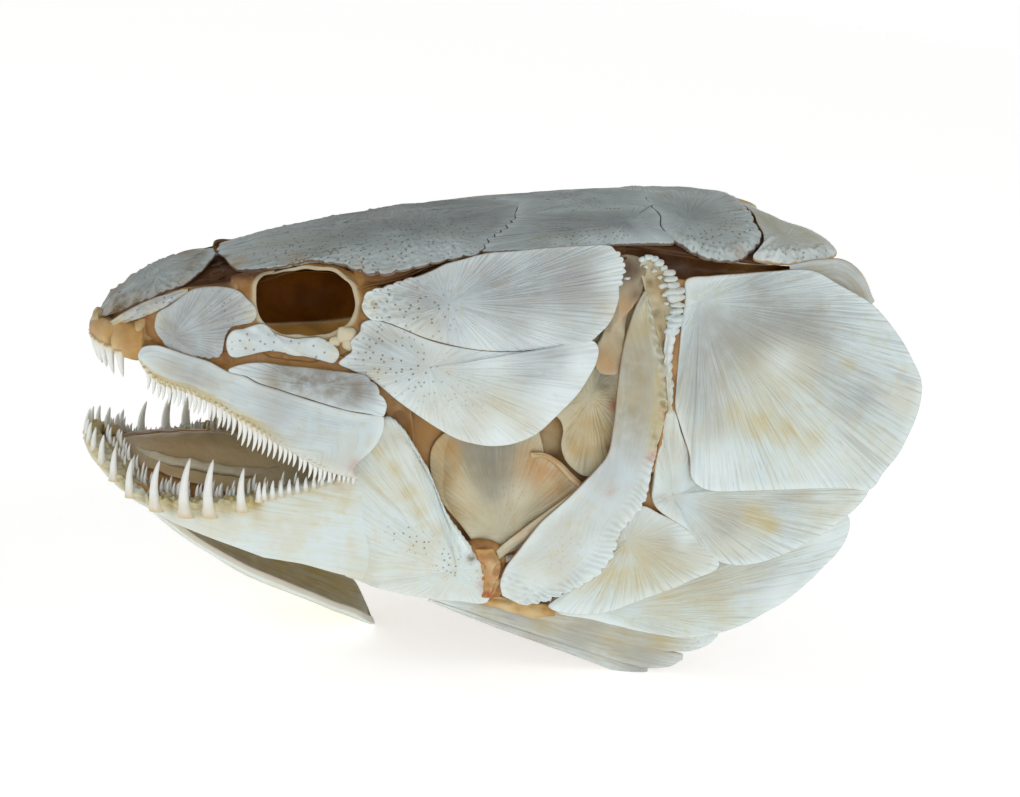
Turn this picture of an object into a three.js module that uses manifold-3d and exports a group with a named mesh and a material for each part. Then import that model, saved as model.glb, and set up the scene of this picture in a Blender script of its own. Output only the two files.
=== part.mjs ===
// Skull of an adult bowfin (Amia calva), dry bone, mouth a third open.
// Millimetres, +Z up. The bones are laid out in a head frame, +X towards the tail and -Y the fish's
// left side, and the whole skull is then tipped so that it rests on three flats at z = 0: the rear of
// the gular plate and the rear tips of the lowest branchiostegal rays.
import * as THREE from 'three';
import Module from 'manifold-3d';

const wasm = await Module();
wasm.setup();

// ---- driving dimensions, mm ----
const SUTURE = 0.15;          // each bone stops this far short of a shared suture
const ROOF_THICK = 1.8;       // skull roof
const CHEEK_THICK = 1.6;      // cheek and upper jaw plates
const GILL_THICK = 1.1;       // opercular series
const DOME = 0.35;            // how far the middle of a plate stands out from its rim
const LINING_DEPTH = 8.5;     // how far the lining of the eye socket falls in from its rim
const FLAT_DEPTH = 0.6;       // bone worn away at each resting point
const REST_FRONT = [-28.8, -43.2];   // x, z of the rear of the gular plate
const REST_REAR = [17, -50.2];       // x, z of the lowest branchiostegal tips
const JAW_NOSE = 29.5;        // half length of the curved front of the lower jaw
const JAW_HALF = 25;          // its half width
const JAW_BEND_X = -51;       // where the curved front meets the straight sides

// ---- smooth curves and the two outer faces of the head ----
// A smooth run through knots [x, value], flat beyond both ends.
function curve(knots) {
  return x => {
    const last = knots.length - 1;
    if (x <= knots[0][0]) return knots[0][1];
    if (x >= knots[last][0]) return knots[last][1];
    let i = 0;
    while (knots[i + 1][0] < x) i++;
    const slope = k => (knots[k + 1][1] - knots[k][1]) / (knots[k + 1][0] - knots[k][0]);
    const tangent = k => {
      if (k === 0) return slope(0);
      if (k === last) return slope(last - 1);
      const a = slope(k - 1);
      const b = slope(k);
      return a * b <= 0 ? 0 : 2 * a * b / (a + b);
    };
    const span = knots[i + 1][0] - knots[i][0];
    const t = (x - knots[i][0]) / span;
    const h = t * t * (3 - 2 * t);
    return knots[i][1] * (1 - h) + knots[i + 1][1] * h
      + span * t * (1 - t) * (tangent(i) * (1 - t) - tangent(i + 1) * t);
  };
}

function smooth(t) {
  const s = Math.min(1, Math.max(0, t));
  return s * s * (3 - 2 * s);
}

const headPlan = curve([[-77, 0.5], [-73, 10], [-67, 16], [-60, 20], [-50, 23.5], [-38, 26], [-20, 28.5],
  [0, 30], [30, 32.5], [60, 33], [75, 31.5], [90, 28]]);
const headTop = curve([[-77, 18.5], [-75, 23], [-70, 26.5], [-66, 28.6], [-59, 31], [-52, 32.6],
  [-45, 34.1], [-34, 35.6], [-17, 37.2], [0, 38], [17, 38.7], [27, 39], [42, 38], [60, 34]]);

// Half width of the head at length x and height z, widest at z = -8.
function cheek(x, z) {
  const q = z + 8;
  const lean = q > 0 ? (0.17 + 0.18 * smooth((-5 - x) / 35)) * (q / 42) ** 2 : 0.2 * (q / 48) ** 2;
  return headPlan(x) * (1 - lean);
}

// Height of the skull roof, falling away to both sides.
function roof(x, y) {
  const bend = 3.4 + smooth((-15 - x) / 30) + 2.1 * smooth((x - 12) / 20);
  return headTop(x) - bend * (y / (22 - 2 * smooth((-15 - x) / 30))) ** 2;
}

// Half width of the lower jaw's outer face behind its curved front.
const jawSide = curve([[JAW_BEND_X, JAW_HALF], [-36, 25.2], [-25, 26.3], [-9, 28]]);

// ---- building solids, all on the fish's left side ----
function geometry(points, faces) {
  const g = new THREE.BufferGeometry();
  g.setAttribute('position', new THREE.Float32BufferAttribute(points.flat(), 3));
  g.setIndex(faces.flat());
  return g;
}

// Closed solid between two matching grids of points, outer[i][j] and inner[i][j].
function slab(outer, inner) {
  const n = outer.length;
  const m = outer[0].length;
  const points = [...outer.flat(), ...inner.flat()];
  const faces = [];
  const quad = (a, b, c, d) => faces.push([a, b, c], [a, c, d]);
  const o = (i, j) => i * m + j;
  const k = (i, j) => n * m + i * m + j;
  for (let i = 0; i < n - 1; i++) {
    for (let j = 0; j < m - 1; j++) {
      quad(o(i, j), o(i + 1, j), o(i + 1, j + 1), o(i, j + 1));
      quad(k(i, j), k(i, j + 1), k(i + 1, j + 1), k(i + 1, j));
    }
    quad(o(i, 0), k(i, 0), k(i + 1, 0), o(i + 1, 0));
    quad(o(i, m - 1), o(i + 1, m - 1), k(i + 1, m - 1), k(i, m - 1));
  }
  for (let j = 0; j < m - 1; j++) {
    quad(o(0, j), o(0, j + 1), k(0, j + 1), k(0, j));
    quad(o(n - 1, j), k(n - 1, j), k(n - 1, j + 1), o(n - 1, j + 1));
  }
  return outward(geometry(points, faces));
}

// Closed solid swept round rings of points, capped at both ends.
function tube(rings) {
  const m = rings[0].length;
  const points = rings.flat();
  const faces = [];
  for (let i = 0; i < rings.length - 1; i++) {
    for (let j = 0; j < m; j++) {
      const a = i * m + j;
      const b = i * m + (j + 1) % m;
      faces.push([a, b, b + m], [a, b + m, a + m]);
    }
  }
  const end = (rings.length - 1) * m;
  for (let j = 1; j < m - 1; j++) {
    faces.push([0, j + 1, j], [end, end + j, end + j + 1]);
  }
  return outward(geometry(points, faces));
}

// Turn the faces round where the solid came out inside out.
function outward(g) {
  const p = g.attributes.position.array;
  const f = g.index.array;
  let six = 0;
  for (let i = 0; i < f.length; i += 3) {
    const [a, b, c] = [f[i] * 3, f[i + 1] * 3, f[i + 2] * 3];
    six += p[a] * (p[b + 1] * p[c + 2] - p[b + 2] * p[c + 1])
      - p[a + 1] * (p[b] * p[c + 2] - p[b + 2] * p[c])
      + p[a + 2] * (p[b] * p[c + 1] - p[b + 1] * p[c]);
  }
  if (six < 0) {
    for (let i = 0; i < f.length; i += 3) [f[i + 1], f[i + 2]] = [f[i + 2], f[i + 1]];
  }
  return g;
}

// Pull a closed outline in by the suture gap.
function inset(outline, gap = SUTURE) {
  const n = outline.length;
  let area = 0;
  outline.forEach(([x, y], i) => {
    const [u, v] = outline[(i + 1) % n];
    area += x * v - u * y;
  });
  const side = Math.sign(area);
  return outline.map((p, i) => {
    const a = outline[(i + n - 1) % n];
    const b = outline[(i + 1) % n];
    const e = new THREE.Vector2(p[0] - a[0], p[1] - a[1]).normalize();
    const f = new THREE.Vector2(b[0] - p[0], b[1] - p[1]).normalize();
    const w = new THREE.Vector2(-e.y - f.y, e.x + f.x).normalize().multiplyScalar(side * gap);
    const widen = Math.max(0.5, Math.sqrt((1 + e.dot(f)) / 2));
    return [p[0] + w.x / widen, p[1] + w.y / widen];
  });
}

// Plate with a closed outline that can be seen whole from its growth centre, lifted onto a face and
// standing out a little in its middle.
function plate(outline, centre, lift, thick) {
  const rim = inset(outline);
  const n = rim.length;
  const reach = [0.4, 0.72, 1];
  const spots = [[...centre, 0]];
  for (const t of reach) {
    rim.forEach(([a, b]) => spots.push([centre[0] + (a - centre[0]) * t, centre[1] + (b - centre[1]) * t, t]));
  }
  const points = [...spots.map(([a, b, t]) => lift(a, b, -DOME * (1 - t * t))), ...spots.map(([a, b]) => lift(a, b, thick))];
  const under = spots.length;
  const faces = [];
  for (let i = 0; i < n; i++) {
    const j = (i + 1) % n;
    faces.push([0, 1 + i, 1 + j], [under, under + 1 + j, under + 1 + i]);
    for (let k = 0; k < reach.length - 1; k++) {
      const [a, b, c, d] = [1 + k * n + i, 1 + k * n + j, 1 + (k + 1) * n + i, 1 + (k + 1) * n + j];
      faces.push([a, c, d], [a, d, b], [under + a, under + d, under + c], [under + a, under + b, under + d]);
    }
    const [c, d] = [under - n + i, under - n + j];
    faces.push([c, under + c, under + d], [c, under + d, d]);
  }
  return outward(geometry(points, faces));
}

// Plate between two matching edges, with a middle row, lifted onto a face.
function strip(edgeA, edgeB, lift, thick) {
  const rows = edgeA.map((a, i) => {
    const b = edgeB[i];
    return [a, [(a[0] + b[0]) / 2, (a[1] + b[1]) / 2], b];
  });
  return slab(rows.map(r => r.map(s => lift(...s, 0))), rows.map(r => r.map(s => lift(...s, thick))));
}

// Lifts: onto the side of the head, the roof or the side of the lower jaw.
const onCheek = offset => (x, z, depth) => [x, -(cheek(x, z) + offset - depth), z];
const onRoof = (x, y, depth) => [x, -y, roof(x, y) - depth];
const onJaw = (x, z, depth) => [x, -(jawSide(x) - 0.002 * (z + 8) ** 2 - depth), z];

// A four-sided tooth from its root to its tip.
function tooth(root, tip, radius) {
  const axis = new THREE.Vector3(...tip).sub(new THREE.Vector3(...root)).normalize();
  const across = new THREE.Vector3(1, 0, 0).cross(axis).normalize();
  const along = axis.clone().cross(across);
  const points = [0, 1, 2, 3].map(i => {
    const turn = (i + 0.5) * Math.PI / 2;
    const p = across.clone().multiplyScalar(Math.cos(turn) * radius);
    return p.addScaledVector(along, Math.sin(turn) * radius).add(new THREE.Vector3(...root)).toArray();
  });
  points.push(tip);
  return outward(geometry(points, [[0, 1, 4], [1, 2, 4], [2, 3, 4], [3, 0, 4], [0, 2, 1], [0, 3, 2]]));
}

function toManifold(g) {
  return new wasm.Manifold(new wasm.Mesh({
    numProp: 3,
    vertProperties: Float32Array.from(g.attributes.position.array),
    triVerts: Uint32Array.from(g.index.array),
  }));
}

function fromManifold(m) {
  const mesh = m.getMesh();
  const g = new THREE.BufferGeometry();
  g.setAttribute('position', new THREE.BufferAttribute(Float32Array.from(mesh.vertProperties), 3));
  g.setIndex(new THREE.BufferAttribute(Uint32Array.from(mesh.triVerts), 1));
  return g;
}

function joined(base, teeth) {
  return fromManifold(teeth.reduce((whole, t) => whole.add(toManifold(t)), toManifold(base)));
}

// ---- shared sutures and edges, head frame ----
const SUTURE_POSTORBITALS = [[-30, 23.5], [-26.5, 21.7], [-19.5, 19.2], [-11, 17.8], [-2.5, 18], [6, 18.8]];
const SUTURE_MAXILLA = [[-55.5, 15.5], [-52, 13.8], [-48.5, 12.2], [-44, 11], [-35.5, 9], [-29.5, 7.8]];
const SUTURE_JAW = [[-36.5, -24.3], [-35.5, -18], [-35, -10], [-35.5, -3.6]];
const SUTURE_INTEROPERCLE = [[16.5, -13], [20, -15], [25.5, -18.5], [32.5, -25.8]];
const SUTURE_PTEROTIC = [[-11, 21.8], [-9.5, 18.5], [-6, 15], [-1.5, 9]];
const SUTURE_ROOF_REAR = [[25.5, 9], [24.5, 12.5], [23, 18.5], [24, 22.5]];
const SUTURE_POSTTEMPORAL = [[43.5, 4.5], [43.5, 12], [42.5, 16.5], [41, 22], [38, 25]];

// ---- the bones of one side ----
const bones = {};

bones.nasal = plate([[-75.3, 0.2], [-75, 4.5], [-73.3, 6.6], [-70.5, 8.2], [-66, 10], [-62, 9.3], [-58.5, 5], [-56.5, 0.2]],
  [-66, 4], onRoof, ROOF_THICK);
bones.frontal = plate([[-55, 0.1], [-54.3, 4.8], [-50, 10.8], [-43, 13], [-37, 15.5], [-33, 20], [-28, 22],
  [-24, 22], [-18.5, 21.8], ...SUTURE_PTEROTIC, [2, 0.1]], [-20, 12], onRoof, ROOF_THICK);
bones.parietal = plate([[2, 0.1], [-1.5, 9], [12, 8.6], ...SUTURE_ROOF_REAR.slice(0, 1), [27.5, 0.1]],
  [13, 4.5], onRoof, ROOF_THICK);
bones.pterotic = plate([...SUTURE_PTEROTIC, [12, 8.6], ...SUTURE_ROOF_REAR, [16, 23.6], [8, 23], [-4, 22.6]],
  [12, 17], onRoof, ROOF_THICK);
bones.extrascapular = plate([[28, 0.1], ...SUTURE_ROOF_REAR, [25, 25.3], [29, 26.2], [33, 26.3],
  ...[...SUTURE_POSTTEMPORAL].reverse(), [43, 0.1]].map(([x, y]) => [x + (x < 27 ? 0.5 : 0), y]),
[33, 14], onRoof, ROOF_THICK);
bones.posttemporal = plate([[44, 5.5], [44, 12], [43, 16.5], [41.5, 22], [38.7, 25.2], [42, 26.3], [48, 26],
  [54, 23.5], [57.5, 19.5], [56, 15], [50.5, 11.5]], [47, 18], onRoof, ROOF_THICK);
bones.postorbital_upper = plate([[-32.5, 26], [-30.5, 28.5], [-25.5, 30], [-19.5, 32.2], [-12, 33.8], [-1.5, 34.6],
  [9, 34.4], [12, 33.6], [13.5, 31], [12, 24], [9.5, 20], ...[...SUTURE_POSTORBITALS].reverse()],
[-14, 25.5], onCheek(1.2), CHEEK_THICK);
bones.postorbital_lower = plate([[-37, 16.6], [-35.3, 19], [-35.3, 21.5], [-33, 23.6], ...SUTURE_POSTORBITALS, [8, 17],
  [7, 13.5], [2.5, 8], [-3, 3.7], [-11.5, 1], [-18, 2.5], [-23.5, 6.6], [-27, 10.8], [-31.8, 14.4]],
[-17, 11.5], onCheek(1.2), CHEEK_THICK);
bones.infraorbital = strip([[-55, 20.5], [-52, 22], [-49, 22.7], [-46.5, 21], [-41.5, 21], [-37, 20]],
  [[-54.8, 18.2], [-52, 17.7], [-48.5, 18.6], [-44.5, 17.8], [-41, 17.4], [-37.7, 17]],
  onCheek(1.2), CHEEK_THICK);
bones.lacrimal = plate([[-67, 22.5], [-66, 25], [-62, 27.5], [-58.5, 29], [-53, 29], [-50.5, 26.5], [-50, 24.6],
  [-52.5, 23.4], [-55.7, 22], [-55.8, 18.5], [-59, 17.7], [-63, 18.8], [-66, 20]],
[-59, 23.5], onCheek(0.8), CHEEK_THICK);
bones.antorbital = strip([[-73.3, 23.2], [-71.5, 25.3], [-68.5, 27.5], [-64.5, 29.2], [-60.5, 30.7], [-56.5, 31]],
  [[-73.8, 21.2], [-71.2, 23.4], [-68, 25.4], [-64, 27.3], [-60.5, 29], [-56.5, 29.6]],
  onCheek(0.6), CHEEK_THICK);
bones.supramaxilla = plate([...SUTURE_MAXILLA, [-29.5, 9.5], [-30.5, 12], [-32.5, 14], [-35, 15], [-40, 15.8],
  [-47.5, 16.6], [-52.5, 16.6]], [-41, 13.2], onCheek(2.2), CHEEK_THICK);
bones.preopercle = strip([[20, 32], [22.7, 27.5], [22, 20.5], [20.6, 13], [19, 2], [17, -7.5], [15, -13],
  [11.5, -20], [8.5, -25], [2, -28.5], [-5, -30]],
[[16.3, 32], [14.7, 25.5], [12.7, 18], [11.8, 9], [10.5, 2.5], [8, -3], [4, -8.5], [-1.5, -14],
  [-5.5, -18], [-8.5, -22], [-9.4, -27]],
onCheek(0.4), CHEEK_THICK);
bones.opercle = plate([[24.5, 25], [25, 28.5], [34.5, 28.7], [47, 29], [53.5, 26.5], [60, 22], [66, 14.5], [70, 9],
  [70.8, 5.5], [69, -1], [66.5, -6], [60.5, -13], [52.5, -12], [42.5, -11.5], [33.5, -11], [27, -10],
  [25, -7.5], [24, 0], [22.3, 6], [22, 12], [22.7, 18]], [42, 9], onCheek(0), GILL_THICK);
bones.subopercle = strip([[21.5, 8], [24.5, 0], [27, -6], [34, -8], [43, -8.5], [52.5, -9], [61.3, -11]],
  [[18.8, -4], [18.9, -12.7], [25.6, -18.3], [32.5, -25.5], [40.5, -26.3], [51, -22.3], [60.5, -15]],
  onCheek(-1.6), GILL_THICK);
bones.interopercle = plate([[13, -16.5], ...SUTURE_INTEROPERCLE.map(([x, z]) => [x - 0.2, z - 0.4]), [26.5, -29],
  [17.5, -32], [7, -34], [2.5, -33], [0, -31.3], [5, -28.5], [9, -24]],
[14, -26], onCheek(-1.6), GILL_THICK);
bones.branchiostegal_upper = strip([[3, -31.5], [10, -30], [20, -29], [28, -26.5], [36, -24.5], [45, -21.5], [55, -18]],
  [[2, -34], [8.5, -36.3], [18.5, -39.8], [28.5, -42.2], [38, -41], [48, -35.5], [58, -25]],
  onCheek(-3.5), GILL_THICK);
bones.branchiostegal_lower = strip([[-20.5, -28.5], [-13, -29.5], [-5, -31.8], [1.8, -34.4], [8.4, -36.8], [18.4, -40.3],
  [28.3, -42.8], [35, -42]],
[[-21.5, -30.5], [-16, -33.5], [-8.5, -37.5], [1.5, -42.5], [9, -46.3], [17, -50.8], [22, -49.5], [29, -46]],
onCheek(-3.5), GILL_THICK);
bones.supracleithrum = strip([[47, 27.3], [52, 27.5], [56.5, 27], [59.5, 25.5], [61.3, 21.5]],
  [[46, 25], [49, 24], [51, 22], [53, 20], [56, 17.5]], onCheek(-2.2), GILL_THICK);
bones.hyomandibula = plate([[19, 29.5], [9, 30.5], [2, 25], [-3, 16], [-8, 10], [-10, 5.5], [0, 5.2], [6, 0], [9, -5], [12, 0],
  [14.5, 9], [17, 19]], [6, 13], onCheek(-3.2), 2.2);
bones.quadrate = plate([[-10.5, -23.5], [-16, -15], [-20.5, -8], [-20.5, 0], [-15, 4.3], [-6, 4.9], [-0.5, 4.4], [5, -0.5],
  [7, -6.5], [2.5, -13.5], [-4, -21]], [-8, -6], onCheek(-3.2), 2.2);
bones.cheek_wall = plate([[-25, 16], [-24, 28], [-12, 31], [4, 32], [16, 31.5], [26, 24], [30, 12], [26, -5], [17, -13], [6, -20],
  [-7, -23], [-17, -17.5], [-25, -8], [-30, -1], [-30, 9]], [0, 5], onCheek(-6.1), 1);

// Lining of the eye socket: a shallow bowl whose rim lies just behind the bones round it.
function orbitLining() {
  const rim = [...[[-46.5, 20.2], [-49.6, 22.8], [-51, 26], [-52.6, 29.2]].map(s => onCheek(-1.2)(...s, 0)),
    ...[[-50.5, 11.2], [-43, 13.4], [-37, 16], [-33.2, 20.2]].map(s => onRoof(...s, 2.2)),
    ...[[-31.6, 27.2], [-33.4, 23.4], [-36, 19.6], [-41.5, 20.2]].map(s => onCheek(-1.2)(...s, 0))];
  const middle = [0, 1, 2].map(k => rim.reduce((sum, p) => sum + p[k] / rim.length, 0));
  const rings = [90, 55, 30, 6].map(turn => {
    const [s, c] = [Math.sin(turn * Math.PI / 180) ** 0.7, Math.cos(turn * Math.PI / 180)];
    return rim.map(p => [middle[0] + (p[0] - middle[0]) * s, middle[1] + (p[1] - middle[1]) * s + LINING_DEPTH * c,
      middle[2] + (p[2] - middle[2]) * s]);
  });
  const back = [...rings].reverse().map(ring => ring.map(([x, y, z]) => [x, y + 0.9, z]));
  return tube([...back, ...rings]);
}
bones.orbit_lining = orbitLining();

// ---- upper jaw: tooth-bearing maxilla and premaxilla ----
function maxilla() {
  const top = [[-69.8, 18], [-66.5, 18.6], [-63, 17.3], [-59, 16.2], ...SUTURE_MAXILLA].map(([x, z]) => [x, z - 0.3]);
  const edge = [[-69.8, 15.4], [-66.8, 13.2], [-62, 11.6], [-58, 9.6], [-54, 7.4], [-49.5, 4.2], [-45, 1.5], [-40, -1.2],
    [-35.2, -3], [-31, 1.2]];
  const lift = onCheek(1.8);
  const row = curve(edge.slice(0, 9));
  const teeth = [];
  for (let i = 0; i < 13; i++) {
    const x = -68.5 + i * 2.6;
    const [, y, z] = lift(x, row(x) + 0.5, 0.8);
    teeth.push(tooth([x, y, z], [x + 0.6, y + 0.4, z - 3.4 + 0.06 * i], 0.6));
  }
  return joined(strip(top, edge, lift, CHEEK_THICK), teeth);
}
bones.maxilla = maxilla();

// Half ring of the snout, t from the midline (0) to the maxilla (1).
function snout(t, out) {
  const turn = t * Math.PI * 0.3;
  return [-62 - (15.3 + out) * Math.cos(turn), -(15.2 + out) * Math.sin(turn)];
}

function premaxilla() {
  const steps = [0.02, 0.25, 0.5, 0.75, 1];
  const low = curve([[0, 17.2], [0.5, 16.8], [1, 15.6]]);
  const high = curve([[0, 20.8], [0.5, 20.6], [1, 21]]);
  const ring = (t, out, z) => [...snout(t, out), z];
  const outer = steps.map(t => [ring(t, 0, low(t)), ring(t, 0.3, (low(t) + high(t)) / 2), ring(t, -0.6, high(t))]);
  const inner = steps.map(t => [ring(t, -3, low(t)), ring(t, -3.2, (low(t) + high(t)) / 2), ring(t, -3.6, high(t))]);
  const teeth = [0.12, 0.36, 0.6, 0.84].map(t => {
    const root = ring(t, -1.2, low(t) + 0.5);
    return tooth(root, [root[0] + 0.6, root[1], root[2] - 4.6], 0.7);
  });
  return joined(slab(outer, inner), teeth);
}
bones.premaxilla = premaxilla();

// ---- lower jaw ----
// Point on the jaw's outer face: s in degrees round the curved front, then 90 + mm behind it.
function jaw(s, inward) {
  if (s <= 90) {
    const turn = s * Math.PI / 180;
    return [JAW_BEND_X - (JAW_NOSE - inward) * Math.cos(turn), -(JAW_HALF - inward) * Math.sin(turn)];
  }
  const x = JAW_BEND_X + s - 90;
  return [x, -(jawSide(x) - inward)];
}

function dentary() {
  const rim = curve([[0, 0.6], [12, 0.4], [20, -0.9], [30, -3.3], [40, -5.6], [50, -6.8], [65, -7.2], [80, -7], [96, -5.5],
    [105.3, -3.8]]);
  const low = curve([[0, -5], [10, -4.9], [20, -5.7], [40, -8.8], [60, -12.4], [80, -16.3], [96, -20.3], [104.6, -24]]);
  const steps = [0.6, 12, 24, 37, 50, 65, 80, 93, 104.6];
  const point = (s, inward, z) => [...jaw(s, inward), z];
  const outer = steps.map(s => [point(s, 0.4, rim(s)), point(s, 0, (rim(s) + low(s)) / 2), point(s, 1.2, low(s))]);
  const inner = steps.map(s => [point(s, 3.6, rim(s) - 0.3), point(s, 3.2, (rim(s) + low(s)) / 2), point(s, 3, low(s))]);
  const teeth = [[10, 3.4], [20, 4], [30, 5.6], [38, 5], [46, 7], [56, 9], [66, 9.2], [74, 9], [84, 7]].map(([s, height]) => {
    const root = point(s, 1.4, rim(s) - 1.2);
    const lean = jaw(s, 2.6);
    return tooth(root, [lean[0] + 0.6, lean[1], rim(s) - 1.2 + height], height > 6 ? 1.1 : 0.8);
  });
  return joined(slab(outer, inner), teeth);
}
bones.dentary = dentary();

bones.angular = plate([...SUTURE_JAW, [-34.2, -0.5], [-31.5, 3.2], [-29, 3.8], [-26, 1], [-22, -4], [-18.5, -12.5],
  [-13, -19.5], [-11.2, -23.5], [-11.3, -29.6], [-17, -29.4], [-25, -27.9], [-32, -25.6]],
[-27, -14], onJaw, 1.5);

// ---- roof of the mouth ----
// Rises from the pterygoid's outer edge to the base of the skull, arched between them.
function pterygoid() {
  const outer = [[-66, -9.5, 15.5], [-58, -14.5, 12.5], [-48, -18, 8], [-38, -19, 2.5], [-29, -20, -3], [-21.5, -20.5, -9]];
  const inner = [[-65, -4.5, 15.8], [-58, -5.5, 14.5], [-48, -5.5, 13.2], [-37, -6, 12.2], [-26, -8, 11.2], [-14, -12, 9.2]];
  const rows = outer.map((a, i) => {
    const b = inner[i];
    const middle = [(a[0] + b[0]) / 2, (a[1] + b[1]) / 2 - 1.5, (a[2] + b[2]) / 2 + 2];
    return [a, middle, b];
  });
  const lower = rows.map(r => r.map(([x, y, z]) => [x, y + 1, z - 1.6]));
  return slab(rows, lower);
}
bones.pterygoid = pterygoid();

// ---- bones of the midline ----
const middle = {};

// Ring of a rounded box section at x between heights low and high.
function section(x, half, low, high, sides = 12) {
  const mid = (low + high) / 2;
  return Array.from({ length: sides }, (_, i) => {
    const turn = (i + 0.5) * 2 * Math.PI / sides;
    const power = v => Math.sign(v) * Math.abs(v) ** 0.7;
    return [x, half * power(Math.cos(turn)), mid + (high - low) / 2 * power(Math.sin(turn))];
  });
}

middle.braincase = tube([[-71, 4, 18.5, 22.5], [-66, 6.5, 18, 25], [-58, 8, 17.3, 27.4], [-50, 6, 16.5, 28.7], [-42, 4, 16, 30.5],
  [-28, 5, 15.3, 32.3], [-14, 9, 13.8, 33], [0, 13, 11, 33.2], [16, 15, 9, 33.2], [30, 13, 9, 33], [42, 8, 12, 32]]
  .map(r => section(...r)));
middle.parasphenoid = tube([[-68, 2.5, 15.3, 17.6], [-58, 4.6, 13.6, 16.6], [-48, 4.4, 12.8, 15.7], [-36, 4.6, 12, 14.8],
  [-20, 5.5, 10.4, 13.4], [-4, 6, 7.6, 10.6], [14, 5, 5.6, 8.4], [30, 3.5, 5.8, 8.4]].map(r => section(...r, 8)));
middle.rostral = tube([[-77.6, 1.6, 18.9, 21], [-76.9, 3.2, 21.1, 23.2], [-75.7, 3.6, 22.4, 24]]
  .map(([x, half, low, high]) => section(x, half, low, high, 8)));

// The gular plate, a long shallow trough hung below the chin.
function gular() {
  const low = curve([[-75.5, -8], [-69, -15.8], [-60.5, -23.8], [-52, -29.9], [-42.5, -35.3], [-35, -39.4], [-28, -43.6]]);
  const half = curve([[-75.5, 2], [-71, 6], [-66, 8.5], [-59, 11.5], [-48, 13.5], [-38, 13], [-32, 11], [-29.5, 8], [-28, 3]]);
  const stations = [-75.5, -70, -65, -60, -53, -45, -37, -31.5, -28.2];
  const across = [-1, -0.6, 0, 0.6, 1];
  const grid = depth => stations.map(x => across.map(v => [x, v * half(x), low(x) + 4.2 * v * v * (half(x) / 13.5) - depth]));
  return slab(grid(-1.5), grid(0));
}
middle.gular_plate = gular();

// ---- tip onto the three resting points, wear the flats and centre ----
const PITCH = Math.atan2(REST_FRONT[1] - REST_REAR[1], REST_REAR[0] - REST_FRONT[0]);
const tip = new THREE.Matrix4().makeRotationY(-PITCH);
const standing = new THREE.Vector3(REST_REAR[0], 0, REST_REAR[1]).applyMatrix4(tip);
const FLOOR = standing.z + FLAT_DEPTH;

const BONE = { white: '#dfe3df', cream: '#e2dac2', ochre: '#c9b083', grey: '#b4b8b2', brown: '#6b4a2b' };
const SHADE = {
  dentary: BONE.cream, premaxilla: BONE.cream, angular: BONE.cream, quadrate: BONE.ochre, pterygoid: BONE.ochre,
  hyomandibula: BONE.grey, braincase: BONE.ochre, parasphenoid: BONE.ochre, frontal: BONE.grey, parietal: BONE.grey,
  pterotic: BONE.grey, nasal: BONE.grey, extrascapular: BONE.grey, rostral: BONE.ochre, gular_plate: BONE.cream,
  cheek_wall: BONE.brown, orbit_lining: BONE.brown,
};

const group = new THREE.Group();
group.name = 'bowfin_skull';

function put(name, g, shade) {
  let placed = g.applyMatrix4(tip);
  placed.computeBoundingBox();
  if (placed.boundingBox.min.z < FLOOR) {
    placed = fromManifold(toManifold(placed).trimByPlane([0, 0, 1], FLOOR));
  }
  placed.deleteAttribute('normal');
  const mesh = new THREE.Mesh(placed, new THREE.MeshStandardMaterial({ color: shade, roughness: 0.7 }));
  mesh.name = name;
  group.add(mesh);
}

for (const [name, g] of Object.entries(middle)) put(name, g, SHADE[name] ?? BONE.white);
for (const [name, g] of Object.entries(bones)) {
  const right = outward(g.clone().applyMatrix4(new THREE.Matrix4().makeScale(1, -1, 1)));
  put(`${name}_left`, g, SHADE[name] ?? BONE.white);
  put(`${name}_right`, right, SHADE[name] ?? BONE.white);
}

const box = new THREE.Box3().setFromObject(group);
const centre = box.getCenter(new THREE.Vector3());
group.position.set(-centre.x, -centre.y, -box.min.z);
group.updateMatrixWorld(true);

export default group;
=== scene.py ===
"""Dry skull of an adult bowfin, mouth a third open, resting on its gular plate and lowest gill rays.

Every bone is a surface of two parameters worked out with numpy in the head frame: millimetres, +X towards the
tail, -Y the fish's left side, +Z up. to_row() tips the head onto its resting points and moves it to the row
frame. The left side's bones are made once and mirrored for the right.
"""

import math

import bpy
import numpy as np
from mathutils import Matrix


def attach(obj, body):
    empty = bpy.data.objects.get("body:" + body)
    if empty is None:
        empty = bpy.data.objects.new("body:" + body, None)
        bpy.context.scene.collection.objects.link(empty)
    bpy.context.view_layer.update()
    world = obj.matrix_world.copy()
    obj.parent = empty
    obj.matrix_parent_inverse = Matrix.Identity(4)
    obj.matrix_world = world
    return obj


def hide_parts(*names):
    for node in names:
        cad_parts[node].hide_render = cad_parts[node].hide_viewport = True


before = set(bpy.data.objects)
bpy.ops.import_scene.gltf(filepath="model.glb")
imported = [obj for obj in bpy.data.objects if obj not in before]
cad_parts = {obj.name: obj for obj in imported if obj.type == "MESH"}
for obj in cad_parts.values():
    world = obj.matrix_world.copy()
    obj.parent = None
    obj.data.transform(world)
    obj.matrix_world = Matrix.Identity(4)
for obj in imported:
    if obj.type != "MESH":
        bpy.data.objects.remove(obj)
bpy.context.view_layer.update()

# ---------------------------------------------------------------- sizes, mm, and the head's outer faces
MM = 0.001
PITCH = math.atan2(50.2 - 43.2, 17 + 28.8)    # the tip that brings the three resting points level
SHIFT = (5.4353, 0.0, 46.4553)                # from the tipped head frame to the row frame
FLOOR_FLAT = 0.02                             # bone stops this far above the floor plane
SUTURE = 0.03                                 # each bone stops this far short of a shared suture
ROOF_THICK = 1.7
CHEEK_THICK = 1.5
GILL_THICK = 1.1
ROUND = np.linspace(0, np.pi, 7)[1:-1]        # turns of the five rows that round off an edge
NO_RIM = 9.0                                  # margin of a point that is far from any rim
CELL = 1.15                                   # spacing of the cells in spongy bone
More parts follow.
